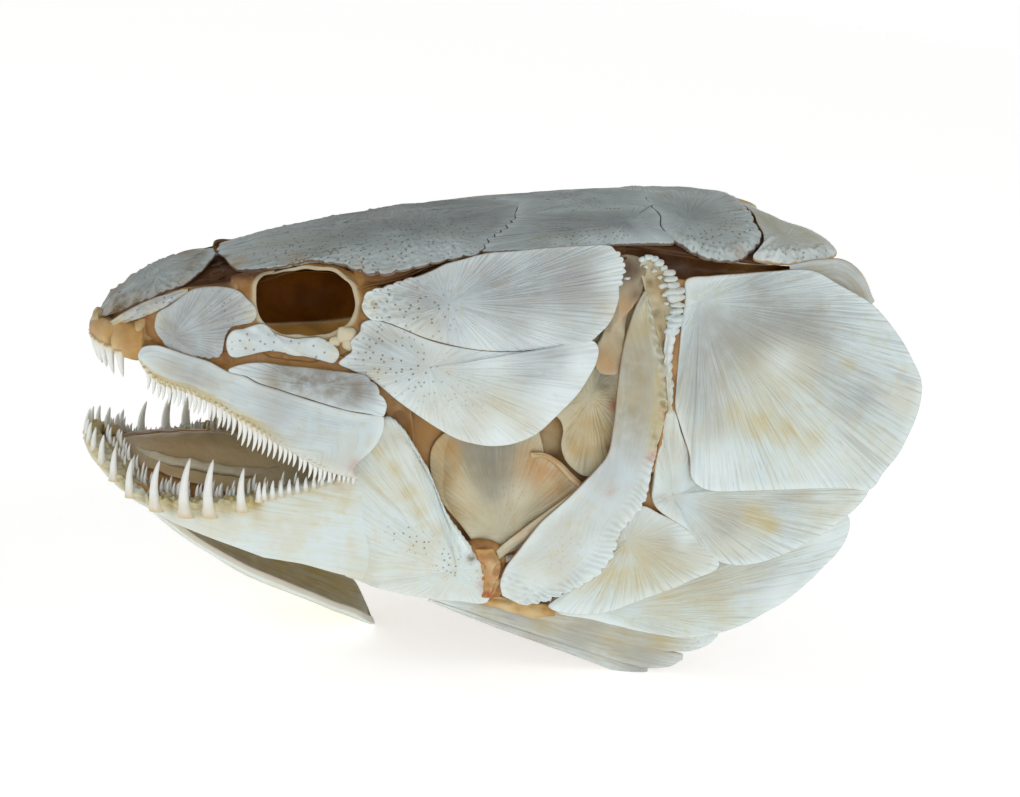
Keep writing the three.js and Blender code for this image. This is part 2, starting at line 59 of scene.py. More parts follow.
SNOUT_X, SNOUT_REACH, SNOUT_HALF = -62, 15.3, 15.2
JAW_BEND_X, JAW_NOSE, JAW_HALF = -51.0, 29.5, 25.0


def run(knots):
    """Smooth run through (x, value) knots, flat past both ends: cubic pieces that never overshoot."""
    kx, kv = np.array(knots, float).T
    s = np.diff(kv) / np.diff(kx)
    a, b = s[:-1], s[1:]
    inner = np.where(a * b > 0, 2 * a * b / np.where(a + b == 0, 1, a + b), 0)
    m = np.concatenate([s[:1], inner, s[-1:]])

    def value(x):
        x = np.clip(np.asarray(x, float), kx[0], kx[-1])
        i = np.clip(np.searchsorted(kx, x, side="right") - 1, 0, len(s) - 1)
        w = kx[i + 1] - kx[i]
        t = (x - kx[i]) / w
        h = t * t * (3 - 2 * t)
        return kv[i] * (1 - h) + kv[i + 1] * h + w * t * (1 - t) * (m[i] * (1 - t) - m[i + 1] * t)

    return value


def smooth(t):
    """Ease from 0 to 1: 3 t squared less 2 t cubed, held at both ends."""
    t = np.clip(t, 0, 1)
    return t * t * (3 - 2 * t)


head_plan = run([(-77, 0.5), (-73, 10), (-67, 16), (-60, 20), (-50, 23.5), (-38, 26), (-20, 28.5), (0, 30),
    (30, 32.5), (60, 33), (75, 31.5), (90, 28)])
head_top = run([(-77, 18.5), (-75, 23), (-70, 26.5), (-66, 28.6), (-59, 31), (-52, 32.6), (-45, 34.1),
    (-34, 35.6), (-17, 37.2), (0, 38), (17, 38.7), (27, 39), (42, 38), (60, 34)])
jaw_side = run([(JAW_BEND_X, JAW_HALF), (-36, 25.2), (-25, 26.3), (-9, 28)])


def cheek(x, z):
    """Half width of the head: its plan at x, narrowing with the square of the height off z = -8."""
    q = z + 8
    lean = np.where(q > 0, (0.17 + 0.18 * smooth((-5 - x) / 35)) * (q / 42) ** 2, 0.2 * (q / 48) ** 2)
    return head_plan(x) * (1 - lean)


def roof(x, y):
    """Height of the skull roof: its midline at x, falling with the square of the distance to the side."""
    bend = 3.4 + smooth((-15 - x) / 30) + 2.1 * smooth((x - 12) / 20)
    return head_top(x) - bend * (y / (22 - 2 * smooth((-15 - x) / 30))) ** 2


# A lift takes a plate's two coordinates and a depth below its face to a point of the left side.
def on_cheek(offset):
    """(x, z, depth) on the side of the head, offset outwards."""
    return lambda a, b, depth: np.stack([a, -(cheek(a, b) + offset - depth), b], -1)


def on_roof(a, b, depth):
    """(x, distance from the midline, depth) on the skull roof; nothing crosses the midline."""
    b = np.maximum(b, 0.06)
    return np.stack([a, -b, roof(a, b) - depth], -1)


def on_jaw(a, b, depth):
    """(x, z, depth) on the outer face of the lower jaw."""
    return np.stack([a, -(jaw_side(a) - 0.002 * (b + 8) ** 2 - depth), b], -1)


def under_roof(depth):
    """(x, distance from the midline) on a sheet that lies under the skull roof."""
    return lambda a, b, more: np.stack([a, -b, roof(a, b) - depth - more], -1)


def at(lift, *places):
    """Points of the left side for a list of plate coordinates, none of them below the face."""
    return [lift(np.array(float(a)), np.array(float(b)), 0.0) for a, b in places]


def to_row(p):
    """Head frame in mm to row frame in metres: turned by PITCH, shifted, and held above the floor."""
    c, s = math.cos(PITCH), math.sin(PITCH)
    q = np.stack([p[..., 0] * c - p[..., 2] * s + SHIFT[0], p[..., 1],
        p[..., 0] * s + p[..., 2] * c + SHIFT[2]], -1)
    q[..., 2] = np.maximum(q[..., 2], FLOOR_FLAT)
    return q * MM


# ---------------------------------------------------------------- curves, noise and meshes
def through(points, n, closed=True):
    """n points evenly spaced by length along a centripetal Catmull-Rom curve through the given points."""
    p = np.array(points, float)
    if closed:
        p = np.concatenate([p[-1:], p, p[:2]])
    else:
        p = np.concatenate([2 * p[:1] - p[1:2], p, 2 * p[-1:] - p[-2:-1]])
    p0, p1, p2, p3 = (p[i:len(p) - 3 + i, None, :] for i in range(4))
    gap = [np.maximum(np.linalg.norm(b - a, axis=-1, keepdims=True), 1e-6) ** 0.5
           for a, b in ((p0, p1), (p1, p2), (p2, p3))]
    t1 = gap[0]
    t2 = t1 + gap[1]
    t3 = t2 + gap[2]
    t = t1 + gap[1] * np.linspace(0, 1, 25)[None, :-1, None]
    a1 = (t1 - t) / t1 * p0 + t / t1 * p1
    a2 = (t2 - t) / gap[1] * p1 + (t - t1) / gap[1] * p2
    a3 = (t3 - t) / gap[2] * p2 + (t - t2) / gap[2] * p3
    b1 = (t2 - t) / t2 * a1 + t / t2 * a2
    b2 = (t3 - t) / (t3 - t1) * a2 + (t - t1) / (t3 - t1) * a3
    line = ((t2 - t) / gap[1] * b1 + (t - t1) / gap[1] * b2).reshape(-1, p.shape[1])
    line = np.concatenate([line, line[:1] if closed else p[-2:-1]])
    far = np.concatenate([[0], np.cumsum(np.linalg.norm(np.diff(line, axis=0), axis=1))])
    want = np.linspace(0, far[-1], n + 1)[:-1] if closed else np.linspace(0, far[-1], n)
    return np.stack([np.interp(want, far, line[:, k]) for k in range(p.shape[1])], -1)


def scallops(points, waves, height, seed, sharp=0.6):
    """Line through the points with rounded lobes on its left hand: `height` times the sine of the way along
    each lobe to the power `sharp`, uneven from lobe to lobe."""
    rng = np.random.default_rng(seed)
    line = through(points, 14 * waves + 1, False)
    way = np.linspace(0, waves, 14 * waves + 1)
    size = height * rng.uniform(0.5, 1.2, waves + 1)[way.astype(int)]
    step = np.gradient(line, axis=0)
    step /= np.linalg.norm(step, axis=1, keepdims=True)
    lobe = np.abs(np.sin(np.pi * way)) ** sharp * size
    return (line + np.stack([-step[:, 1], step[:, 0]], -1) * lobe[:, None]).tolist()


def lumps(p, size, seed, terms=14):
    """Soft lumps about `size` mm across: a sum of plane waves in random directions, about -1 to 1."""
    rng = np.random.default_rng(seed)
    k = rng.normal(size=(terms, 3))
    k *= 2 * np.pi / size * rng.uniform(0.6, 1.4, (terms, 1)) / np.linalg.norm(k, axis=1, keepdims=True)
    phase = rng.uniform(0, 2 * np.pi, terms)
    return np.sin(p @ k.T + phase).sum(-1) / math.sqrt(terms)


def fibres(growth, share, width, length, seed):
    """Low ridges that run with the growth and branch as they go out. The wave is a sum of plane waves in
    growth coordinates, `width` mm across and `length` mm along, half as dense in the inner third as further
    out; its absolute value makes rounded ridges with narrow furrows. Gives the ridges' height and how deep a
    point lies in a furrow."""
    terms, rng = 24, np.random.default_rng(seed)
    turn = rng.uniform(0, 2 * np.pi, terms)
    k = np.stack([np.cos(turn) / width, np.sin(turn) / width, rng.uniform(-1, 1, terms) / length],
        -1) * 2 * np.pi
    k *= rng.uniform(0.6, 1.1, (terms, 1))
    phase = rng.uniform(0, 2 * np.pi, terms)
    near, far = (np.sin(growth * [dense, dense, 1] @ k.T + phase).sum(-1) for dense in (0.5, 1.0))
    wave = np.abs(near + (far - near) * smooth((share - 0.3) / 0.35)) / math.sqrt(terms / 2)
    return np.minimum(wave, 1.3) - 0.65, smooth(1 - wave / 0.42)


def bell(v, middle, width):
    """Bell of height 1 at the middle: exp of minus the squared distance over the squared width."""
    return np.exp(-((v - middle) / width) ** 2)


def blunt(v, power):
    """Sine or cosine raised to a power with its sign kept: it squares off a round section."""
    return np.sign(v) * np.abs(v) ** power


def level(flat):
    """Plate coordinates with a third one of 0."""
    return np.concatenate([flat, 0 * flat[..., :1]], -1)


def spots(p, places):
    """Sum of soft round spots, each (x, y, radius, amount): the amount times exp of minus the squared
    distance over the squared radius."""
    total = np.zeros(p.shape[:-1])
    for x, y, r, amount in places:
        total += amount * np.exp(-((p[..., 0] - x) ** 2 + (p[..., 1] - y) ** 2) / r ** 2)
    return total


def grid_faces(rows, cols, wrap):
    """Quads between neighbouring rows of a grid, joined round in the column direction if wrap."""
    i, j = np.meshgrid(np.arange(rows - 1), np.arange(cols if wrap else cols - 1), indexing="ij")
    k = (j + 1) % cols
    return np.stack([i * cols + j, i * cols + k, (i + 1) * cols + k, (i + 1) * cols + j], -1).reshape(-1, 4)


def fan(hub, ring):
    """Triangles from a hub to each step of a closed ring of vertex numbers."""
    return np.stack([np.full(len(ring), hub), ring, np.roll(ring, -1)], -1)


class Shape:
    """Points in the head frame with faces and named values at each point."""

    def __init__(self, points, quads, tris, values):
        self.points, self.quads, self.tris, self.values = points, quads, tris, values
        a, b, c = (points[tris[:, i]] for i in range(3)) if len(tris) else (np.zeros((0, 3)),) * 3
        p, q, r, s = (points[quads[:, i]] for i in range(4))
        six = np.einsum("ij,ij->", a, np.cross(b, c)) + np.einsum("ij,ij->", p, np.cross(q, r))
        six += np.einsum("ij,ij->", p, np.cross(r, s))
        if six < 0:
            self.quads, self.tris = quads[:, ::-1], tris[:, ::-1]

    def mirrored(self):
        return Shape(self.points * [1, -1, 1], self.quads, self.tris, self.values)


def closed_rows(rows, values):
    """Solid from a grid of points whose rows are closed rings; the end rings close on their middles."""
    n, m = rows.shape[:2]
    ends = np.stack([rows[0].mean(0), rows[-1].mean(0)])
    points = np.concatenate([rows.reshape(-1, 3), ends])
    tris = np.concatenate([fan(n * m, np.arange(m)[::-1]), fan(n * m + 1, np.arange((n - 1) * m, n * m))])
    flat = {k: np.concatenate([v.reshape((n * m,) + v.shape[2:]), v[0].mean(0)[None], v[-1].mean(0)[None]])
            for k, v in values.items()}
    return Shape(points, grid_faces(n, m, True), tris, flat)


def joined(shapes):
    """Several shapes as one, keeping the values that all of them have."""
    base = np.cumsum([0] + [len(s.points) for s in shapes])
    keys = set.intersection(*(set(s.values) for s in shapes))
    return Shape(np.concatenate([s.points for s in shapes]),
                 np.concatenate([s.quads + b for s, b in zip(shapes, base)]),
                 np.concatenate([s.tris + b for s, b in zip(shapes, base)]),
                 {k: np.concatenate([s.values[k] for s in shapes]) for k in keys})


def inset(rim, gap):
    """Closed 2-D line moved inwards along its own normals."""
    step = np.roll(rim, -1, 0) - np.roll(rim, 1, 0)
    step /= np.linalg.norm(step, axis=1, keepdims=True) + 1e-9
    normal = np.stack([-step[:, 1], step[:, 0]], -1)
    area = np.sum(rim[:, 0] * np.roll(rim[:, 1], -1) - np.roll(rim[:, 0], -1) * rim[:, 1])
    return rim + normal * np.sign(area) * gap


def plate(outline, centre, lift, thick, n, fibre=None, dome=0.35, rough=0.05, edge=0.32, seed=1, tint=None,
          pits=None, spongy=None, relief=None, lump=6, seam=0.0):
    """Bone plate grown from a centre. (turn, reach) lies a share `reach` of the way from the growth centre to
    the rim at that turn; its face stands out by a dome that falls with reach squared, fibres (width, length,
    height) that run out from the centre, soft lumps and spongy patches, and its edge is a half circle of
    radius `edge`."""
    turn = np.arange(n[0]) / n[0]
    rim = inset(through(outline, n[0]), SUTURE)
    hub = np.array(centre, float)
    arm = rim - hub
    length = np.linalg.norm(arm, axis=1)
    reach = np.concatenate([[0.02], np.linspace(0, 1, n[1])[1:] ** 0.9])
    back = np.linspace(1, 0.02, max(5, n[1] // 5))
    dist = np.concatenate([reach[:, None] * (length - edge), length - edge + edge * np.sin(ROUND)[:, None],
                           back[:, None] * (length - edge)])
    share = np.concatenate([reach, 0 * ROUND + 1, back])[:, None] + 0 * turn
    flat = hub + arm[None] / length[None, :, None] * dist[..., None]
    face = np.concatenate([np.ones(n[1]), 0.5 + 0.5 * np.cos(ROUND), np.zeros(len(back))])[:, None]
    depth = np.concatenate([np.zeros(n[1]), edge - edge * np.cos(ROUND),
                            2 * edge + (thick - 2 * edge) * (1 - back ** 2)])
    out = dome * (1 - share ** 2) + rough * lumps(level(flat), lump, seed)
    around = np.linalg.norm(np.roll(rim, -1, 0) - rim, axis=1).sum() / (2 * np.pi)
    growth = np.dstack([around * np.cos(2 * np.pi * turn) + 0 * share,
                        around * np.sin(2 * np.pi * turn) + 0 * share, dist])
    furrow = 0 * dist
    if fibre:
        width, run_length, height = fibre
        ridge, furrow = fibres(growth, share, width, run_length, seed + 1)
        out = out + height * smooth(share * 3) * ridge
    if spongy:
        out, furrow = sponge(flat, spongy, seed, out, furrow)
    if relief is not None:
        out = out + relief(flat, share, length - dist)
    rows = lift(flat[..., 0], flat[..., 1], depth[:, None] - out * face)
    wall = np.concatenate([np.ones(n[1]), 1 - np.sin(ROUND) * (ROUND > 0.8),
        np.full(len(back), 0.7)])[:, None]
    values = {"growth": growth, "margin": length - dist + seam, "face": wall + 0 * share, "furrow": furrow,
              "calm": bell(dist, 0, 5.5) + 0.5 * bell(dist, 0, 12)}
    values |= painted(flat, tint, pits, share)
    return closed_rows(rows, values)


def sponge(flat, places, seed, out, furrow):
    """Spongy bone: cells stand up by about a quarter of a millimetre where the spots say, with furrows
    between them that the finish darkens, partly as dirt and partly as painted shade. Gives the new height and
    furrows."""
    where = np.clip(spots(flat, places), 0, 1)
    cells = lumps(level(flat), CELL, seed + 2, 30)
    return out + 0.26 * where * cells, np.maximum(furrow * (1 - where), where * smooth(-0.4 - cells))


def bare(growth, margin=NO_RIM, face=1.0, furrow=0.0):
    """Values of a piece that has no fibres, each spread over all its points."""
    one = np.ones(growth.shape[:2])
    return {"growth": growth, "margin": margin * one, "face": face * one, "furrow": furrow * one}


def painted(flat, tint=None, pits=None, share=None):
    """Tint amounts at each point, mostly stains, on some pieces painted shade and on the gum painted
    highlights:
    tint maps ochre, brown, grey, rust and pale to spots or to a function of the plate coordinates and the
    share of the way to the rim; pits says how pitted the bone is."""
    out = {}
    for name in ("ochre", "brown", "grey", "rust", "pale"):
        given = (tint or {}).get(name, [])
        out[name] = np.clip(given(flat, share) if callable(given) else spots(flat, given), 0, 1)
    out["pitted"] = np.clip(spots(flat, pits or []), 0, 1)
    out["flat"] = level(flat)
    return out


def strip(edge_a, edge_b, lift, thick, n, edge=0.4, bulge=0.3, rough=0.06, seed=1, calm=0.0, tint=None,
    pits=None, spongy=None, relief=None, fibre=None, lump=5, ragged=None):
    """Long bone between two edge curves. (along, across): the face bulges with across times its other share,
    the two long edges are half circles, and both ends thin out over the last few rings. ragged (waves,
    height, start) pushes the first edge out in uneven lobes from that share of the length on; the push falls
    off within 1 mm."""
    a = through(edge_a, n[0], False)
    b = through(edge_b, n[0], False)
    wide = np.linalg.norm(b - a, axis=1)
    v = (1 - np.cos(np.linspace(0, np.pi, n[1]))) / 2
    along = np.linspace(0, 1, n[0])
    total = np.linalg.norm(np.diff((a + b) / 2, axis=0), axis=1).sum()
    near_end = np.minimum(along, 1 - along) * total
    thin = np.sqrt(np.clip(near_end / 1.2, 0.02, 1))
    e = np.minimum(edge, wide * 0.3) * thin
    inner_v = v[::-3]
    across = np.concatenate([e[:, None] + v * (wide - 2 * e)[:, None],
        (wide - e)[:, None] + e[:, None] * np.sin(ROUND), e[:, None] + inner_v * (wide - 2 * e)[:, None],
        e[:, None] - e[:, None] * np.sin(ROUND)], 1)
    full = np.concatenate([v, 0 * ROUND + 1, inner_v, 0 * ROUND]) + 0 * across
    deep = np.concatenate([0 * v, 1 - np.cos(ROUND), 0 * inner_v, 1 + np.cos(ROUND)])
    inner = np.concatenate([0 * v, 0 * ROUND, 1 + 0 * inner_v, 0 * ROUND])
    depth = e[:, None] * deep + inner * (2 * e + (thick * thin - 2 * e))[:, None]
    flat = a[:, None] + (b - a)[:, None] / np.maximum(wide, 1e-6)[:, None, None] * across[..., None]
    if ragged:
        waves, height, start = ragged
        size = height * np.random.default_rng(seed + 5).uniform(0.5, 1.2, waves + 1)
        lobe = size[(along * waves).astype(int)] * np.abs(np.sin(np.pi * along * waves)) ** 0.6
        push = (lobe * smooth((along - start) / 0.06))[:, None] * np.exp(-across / 1.2)
        flat = flat + ((a - b) / np.maximum(wide, 1e-6)[:, None])[:, None] * push[..., None]
    face = np.concatenate([0 * v + 1, 0.5 + 0.5 * np.cos(ROUND), 0 * inner_v, 0.5 - 0.5 * np.cos(ROUND)])
    out = bulge * 4 * full * (1 - full) + rough * lumps(level(flat), lump, seed)
    down = along[:, None] * total + 0 * across
    growth = np.dstack([across, 0 * across, down])
    furrow = 0 * across
    if fibre:
        width, run_length, height = fibre
        ridge, furrow = fibres(growth, 0 * across + 1, width, run_length, seed + 1)
        out = out + height * ridge
    if spongy:
        out, furrow = sponge(flat, spongy, seed, out, furrow)
    if relief is not None:
        out = out + relief(flat, along[:, None] + 0 * across, full)
    rows = lift(flat[..., 0], flat[..., 1], depth - out * (face * thin[:, None]))
    margin = np.minimum(across, wide[:, None] - across)
    wall = np.concatenate([0 * v + 1, 1 - np.sin(ROUND) * (ROUND > 0.8), 0 * inner_v + 0.7,
                           1 - np.sin(ROUND) * (ROUND < 2.3)])
    values = {"growth": growth, "margin": np.maximum(margin, 0), "face": wall + 0 * across, "furrow": furrow,
              "calm": calm + 0 * across}
    values |= painted(flat, tint, pits, full)
    return closed_rows(rows, values)


def loft(rings, n, rough, size, seed, tint=None):
    """Rounded solid along the midline: each ring (x, half width, low, high) is a superellipse, and the rings
    run smoothly into each other."""
    r = np.array(rings, float)
    xs = np.linspace(r[0, 0], r[-1, 0], n[0])
    half, low, high = (run(r[:, [0, k]])(xs) for k in (1, 2, 3))
    close = np.sqrt(np.clip(np.minimum(xs - xs[0], xs[-1] - xs) / 3, 0.03, 1))
    turn = np.linspace(0, 2 * np.pi, n[1], endpoint=False)
    y = (half * close)[:, None] * blunt(np.cos(turn), 0.75)
    z = ((low + high) / 2)[:, None] + ((high - low) / 2 * close)[:, None] * blunt(np.sin(turn), 0.75)
    rows = np.dstack([xs[:, None] + 0 * y, y, z])
    away = np.dstack([0 * y, np.cos(turn) + 0 * y, np.sin(turn) + 0 * y])
    rows = rows + rough * lumps(rows, size, seed)[..., None] * away
    values = bare(np.dstack([y, z, rows[..., 0]]))
    return closed_rows(rows, values | painted(rows[..., [0, 2]], tint))


def bead(centre, size, seed, tint=None):
    """Rounded grain of bone: a ball with the three radii of `size` and a skin lumpy by a tenth."""
    up = np.linspace(0.15, np.pi - 0.15, 10)[:, None]
    turn = np.linspace(0, 2 * np.pi, 16, endpoint=False)
    ball = np.dstack([np.sin(up) * np.cos(turn), np.sin(up) * np.sin(turn), np.cos(up) + 0 * turn])
    rows = np.array(centre) + ball * np.array(size) * (1 + 0.18 * lumps(ball, 1.6, seed)[..., None])
    return closed_rows(rows, bare(rows) | painted(rows[..., [0, 2]], tint))


def cones(root, tip, radius, bow, sides, steps):
    """Teeth: each runs from its root to its tip on a bowed axis, its radius falling as the 0.55 power of what
    is left, swollen at the root, with a small rounded tip. root, tip and bow are n by 3."""
    root, tip, bow, radius = (np.array(v, float) for v in (root, tip, bow, radius))
    s = np.linspace(0, 1, steps)
    axis = tip - root
    axis_n = axis / np.linalg.norm(axis, axis=1, keepdims=True)
    side = np.cross(axis_n, [0.3, 1, 0.2])
    side /= np.linalg.norm(side, axis=1, keepdims=True)
    other = np.cross(axis_n, side)
    turn = np.linspace(0, 2 * np.pi, sides, endpoint=False)
    centre = root[:, None] + axis[:, None] * s[:, None] + bow[:, None] * (s * (1 - s) * 4)[:, None]
    wide = radius[:, None] * (np.clip(1 - s, 0, 1) ** 0.55 + 0.04) * (1 + 0.4 * bell(s, 0, 0.14))
    ring = side[:, None, :] * np.cos(turn)[:, None] + other[:, None, :] * np.sin(turn)[:, None]
    rows = centre[:, :, None] + wide[..., None, None] * ring[:, None]
    count, each = len(root), steps * sides
    heads = np.stack([centre[:, 0], centre[:, -1] + axis_n * wide[:, -1:] * 0.8], 1)
    points = np.concatenate([rows.reshape(-1, 3), heads.reshape(-1, 3)])
    start = np.arange(count) * each
    quads = (grid_faces(steps, sides, True)[None] + start[:, None, None]).reshape(-1, 4)
    low = [fan(count * each + 2 * i, at_row + np.arange(sides)[::-1]) for i, at_row in enumerate(start)]
    high = [fan(count * each + 2 * i + 1, at_row + each - sides + np.arange(sides)) for i,
        at_row in enumerate(start)]
    up = np.concatenate([np.tile(np.repeat(s, sides), count), np.tile([0.0, 1.0], count)])
    return Shape(points, quads, np.concatenate(low + high), {"up": up})


# ---------------------------------------------------------------- finishes
SMOOTH = {"interpolation_type": "SMOOTHSTEP"}


def colour(code):
    """sRGB hex to linear RGBA."""
    v = np.array([int(code[i:i + 2], 16) for i in (1, 3, 5)]) / 255
    v = np.where(v <= 0.04045, v / 12.92, ((v + 0.055) / 1.055) ** 2.4)
    return (*map(float, v), 1.0)


def add(tree, kind, settings, sockets, out=0):
    """Adds one node and gives its output `out`: settings fill its options, sockets its inputs, by name or
    number, with a value or another node's output."""
    n = tree.nodes.new(kind)
    for key, value in settings.items():
        setattr(n, key, value)
    for key, value in sockets.items():
        if isinstance(value, bpy.types.NodeSocket):
            tree.links.new(value, n.inputs[key])
        else:
            n.inputs[key].default_value = value
    return n.outputs[out]


def blank(name):
    """New material, its node tree with nothing but an output in it, and that output's surface input."""
    material = bpy.data.materials.new(name)
    material.use_nodes = True
    tree = material.node_tree
    tree.nodes.clear()
    return material, tree, tree.nodes.new("ShaderNodeOutputMaterial").inputs["Surface"]


def layered(tree, paint, layers):
    """Paints layers over a colour in turn. Each is (source, low, high, most, by, colour): its share rises
    smoothly from 0 to `most` as the source goes from low to high, times `by`."""
    for source, low, high, most, by, code in layers:
        share = add(tree, "ShaderNodeMapRange", SMOOTH, {0: source, 1: low, 2: high, 3: 0.0, 4: most})
        share = add(tree, "ShaderNodeMath", {"operation": "MULTIPLY", "use_clamp": True}, {0: share, 1: by})
        paint = add(tree, "ShaderNodeMix", {"data_type": "RGBA"}, {0: share, 6: paint, 7: colour(code)}, 2)
    return paint


def dermal_bone(name, white, cream, shade, line, grain=1.0, cloud=0.5, relief=1.0, rough=0.5, thin=0.06,
                ochre="#bda650", rim="#dce7e7"):
    """Dry dermal bone, degreased and bleached. It grows outwards from a centre in fine fibres, so `growth`
    carries 0.6 mm striae along it, dirt and painted shade darken their furrows, and old grease is drawn out
    along them in streaks 2 mm wide; pores 0.4 mm wide on a 1.2 mm spacing open where the bone is pitted;
    grease left in it shows as 12 mm clouds of cream; the rim is denser and whiter, and its rounded wall is
    darkened towards brown, partly as dirt and partly as painted shade where the plates meet."""
    material, tree, surface = blank(name)
    place = add(tree, "ShaderNodeTexCoord", {}, {}, "Object")
    value = {key: add(tree, "ShaderNodeAttribute", {"attribute_name": key}, {}, "Fac") for key in (
        "margin", "face", "furrow", "calm", "ochre", "brown", "grey", "rust", "pale", "pitted")}
    growth, flat = (add(tree, "ShaderNodeAttribute", {"attribute_name": key}, {}, "Vector")
                    for key in ("growth", "flat"))
    wide = add(tree, "ShaderNodeMapping", {}, {0: growth, 3: (0.5, 0.5, 0.05)})
    fine = add(tree, "ShaderNodeMapping", {}, {0: growth, 3: (1.6, 1.6, 0.12)})
    bands, striae, clouds, mottle = (add(tree, "ShaderNodeTexNoise", {}, {"Vector": where, "Scale": scale,
        "Detail": detail, "Roughness": 0.6}) for where, scale, detail in ((wide, 1.0, 3.0), (fine, 1.0, 3.0),
        (place, 85.0, 4.0), (place, 420.0, 5.0)))
    drawn = add(tree, "ShaderNodeMath", {"operation": "SUBTRACT", "use_clamp": True},
        {0: 1.0, 1: value["calm"]})
    grey, stain = (add(tree, "ShaderNodeMath", {"operation": "MULTIPLY"}, {0: value[key], 1: drawn})
                   for key in ("grey", "ochre"))
    cells = add(tree, "ShaderNodeTexVoronoi", {"voronoi_dimensions": "2D"}, {"Vector": flat, "Scale": 0.85},
                "Distance")
    chosen = add(tree, "ShaderNodeMapRange", {}, {0: cells.node.outputs["Color"], 1: 0.62, 2: 0.58})
    chosen = add(tree, "ShaderNodeMath", {"operation": "MULTIPLY"}, {0: chosen, 1: value["pitted"]})
    pores = add(tree, "ShaderNodeMapRange", SMOOTH, {0: cells, 1: 0.2, 2: 0.1})
    pores = add(tree, "ShaderNodeMath", {"operation": "MULTIPLY"}, {0: pores, 1: chosen})
    paint = layered(tree, colour(white), [
        (clouds, 0.4, 0.68, cloud, 1.0, cream),
        (bands, 0.42, 0.72, 0.3, drawn, cream),
        (mottle, 0.5, 0.72, 0.5, 1.0, cream),
        (value["margin"], 3.0, 0.4, 0.55, 1.0, rim),
        # Grey and brown tints: grey bone and stains, and on some plates painted shade.
        (clouds, 0.15, 0.6, 0.7, value["grey"], shade),
        (striae, 0.25, 0.65, 0.6, grey, shade),
        (striae, 0.48, 0.76, 0.26 * grain, drawn, shade),
        # Furrows darken towards the shade colour: partly dirt, partly painted shade in the creases.
        (value["furrow"], 0.0, 1.0, 0.36 * grain, drawn, shade),
        (clouds, 0.2, 0.6, 0.4, value["ochre"], ochre),
        (striae, 0.3, 0.72, 0.9, stain, ochre),
        (mottle, 0.25, 0.6, 1.0, value["brown"], "#665022"),
        (mottle, 0.25, 0.6, 1.0, value["rust"], "#b4623a"),
        (mottle, 0.0, 0.5, 1.0, value["pale"], rim),
        (pores, 0.0, 1.0, 0.7, 1.0, "#6b583c"),
        (value["margin"], 0.18, 0.02, 0.4, 1.0, line),
        # Edge walls, where the face value falls, darken towards the line colour: partly dirt, partly painted
        # shade between the plates.
        (value["face"], 0.5, 0.1, 0.75, 1.0, line)])
    height = add(tree, "ShaderNodeMath", {"operation": "MULTIPLY"}, {0: striae, 1: drawn})
    for source, weight in ((mottle, 0.5), (pores, -0.9), (value["furrow"], -0.25 * grain)):
        height = add(tree, "ShaderNodeMath", {"operation": "MULTIPLY_ADD"}, {0: source, 1: weight, 2: height})
    bump = add(tree, "ShaderNodeBump", {}, {"Strength": 0.5 * relief, "Distance": 0.0003, "Height": height})
    sheen = add(tree, "ShaderNodeMapRange", {}, {0: mottle, 1: 0.2, 2: 0.8, 3: rough - 0.08, 4: rough + 0.12})
    shader = add(tree, "ShaderNodeBsdfPrincipled", {}, {
        "Base Color": paint, "Normal": bump, "Roughness": sheen, "IOR": 1.5, "Subsurface Weight": thin,
        "Subsurface Radius": (1.0, 0.9, 0.7), "Subsurface Scale": 0.0012})
    tree.links.new(shader, surface)
    return material


def tooth_enamel():
    """Teeth: glassy white over a faintly yellow foot where they are fused to the bone, crazed lengthwise."""
    material, tree, surface = blank("tooth_enamel")
    up = add(tree, "ShaderNodeAttribute", {"attribute_name": "up"}, {}, "Fac")
    place = add(tree, "ShaderNodeTexCoord", {}, {}, "Object")
    grain = add(tree, "ShaderNodeTexNoise", {}, {"Vector": place, "Scale": 900.0, "Detail": 3.0})
    paint = layered(tree, colour("#cdbb93"), [
        (up, 0.0, 0.12, 0.9, 1.0, "#dcd8c8"),
        (up, 0.08, 0.4, 0.85, 1.0, "#e6e9e6"),
        (grain, 0.5, 0.75, 0.2, 1.0, "#cfc8b0")])
    bump = add(tree, "ShaderNodeBump", {}, {"Strength": 0.15, "Distance": 0.0001, "Height": grain})
    shader = add(tree, "ShaderNodeBsdfPrincipled", {}, {
        "Base Color": paint, "Normal": bump, "Roughness": 0.28, "IOR": 1.6, "Subsurface Weight": 0.15,
        "Subsurface Radius": (1.0, 0.8, 0.55), "Subsurface Scale": 0.001})
    tree.links.new(shader, surface)
    return material


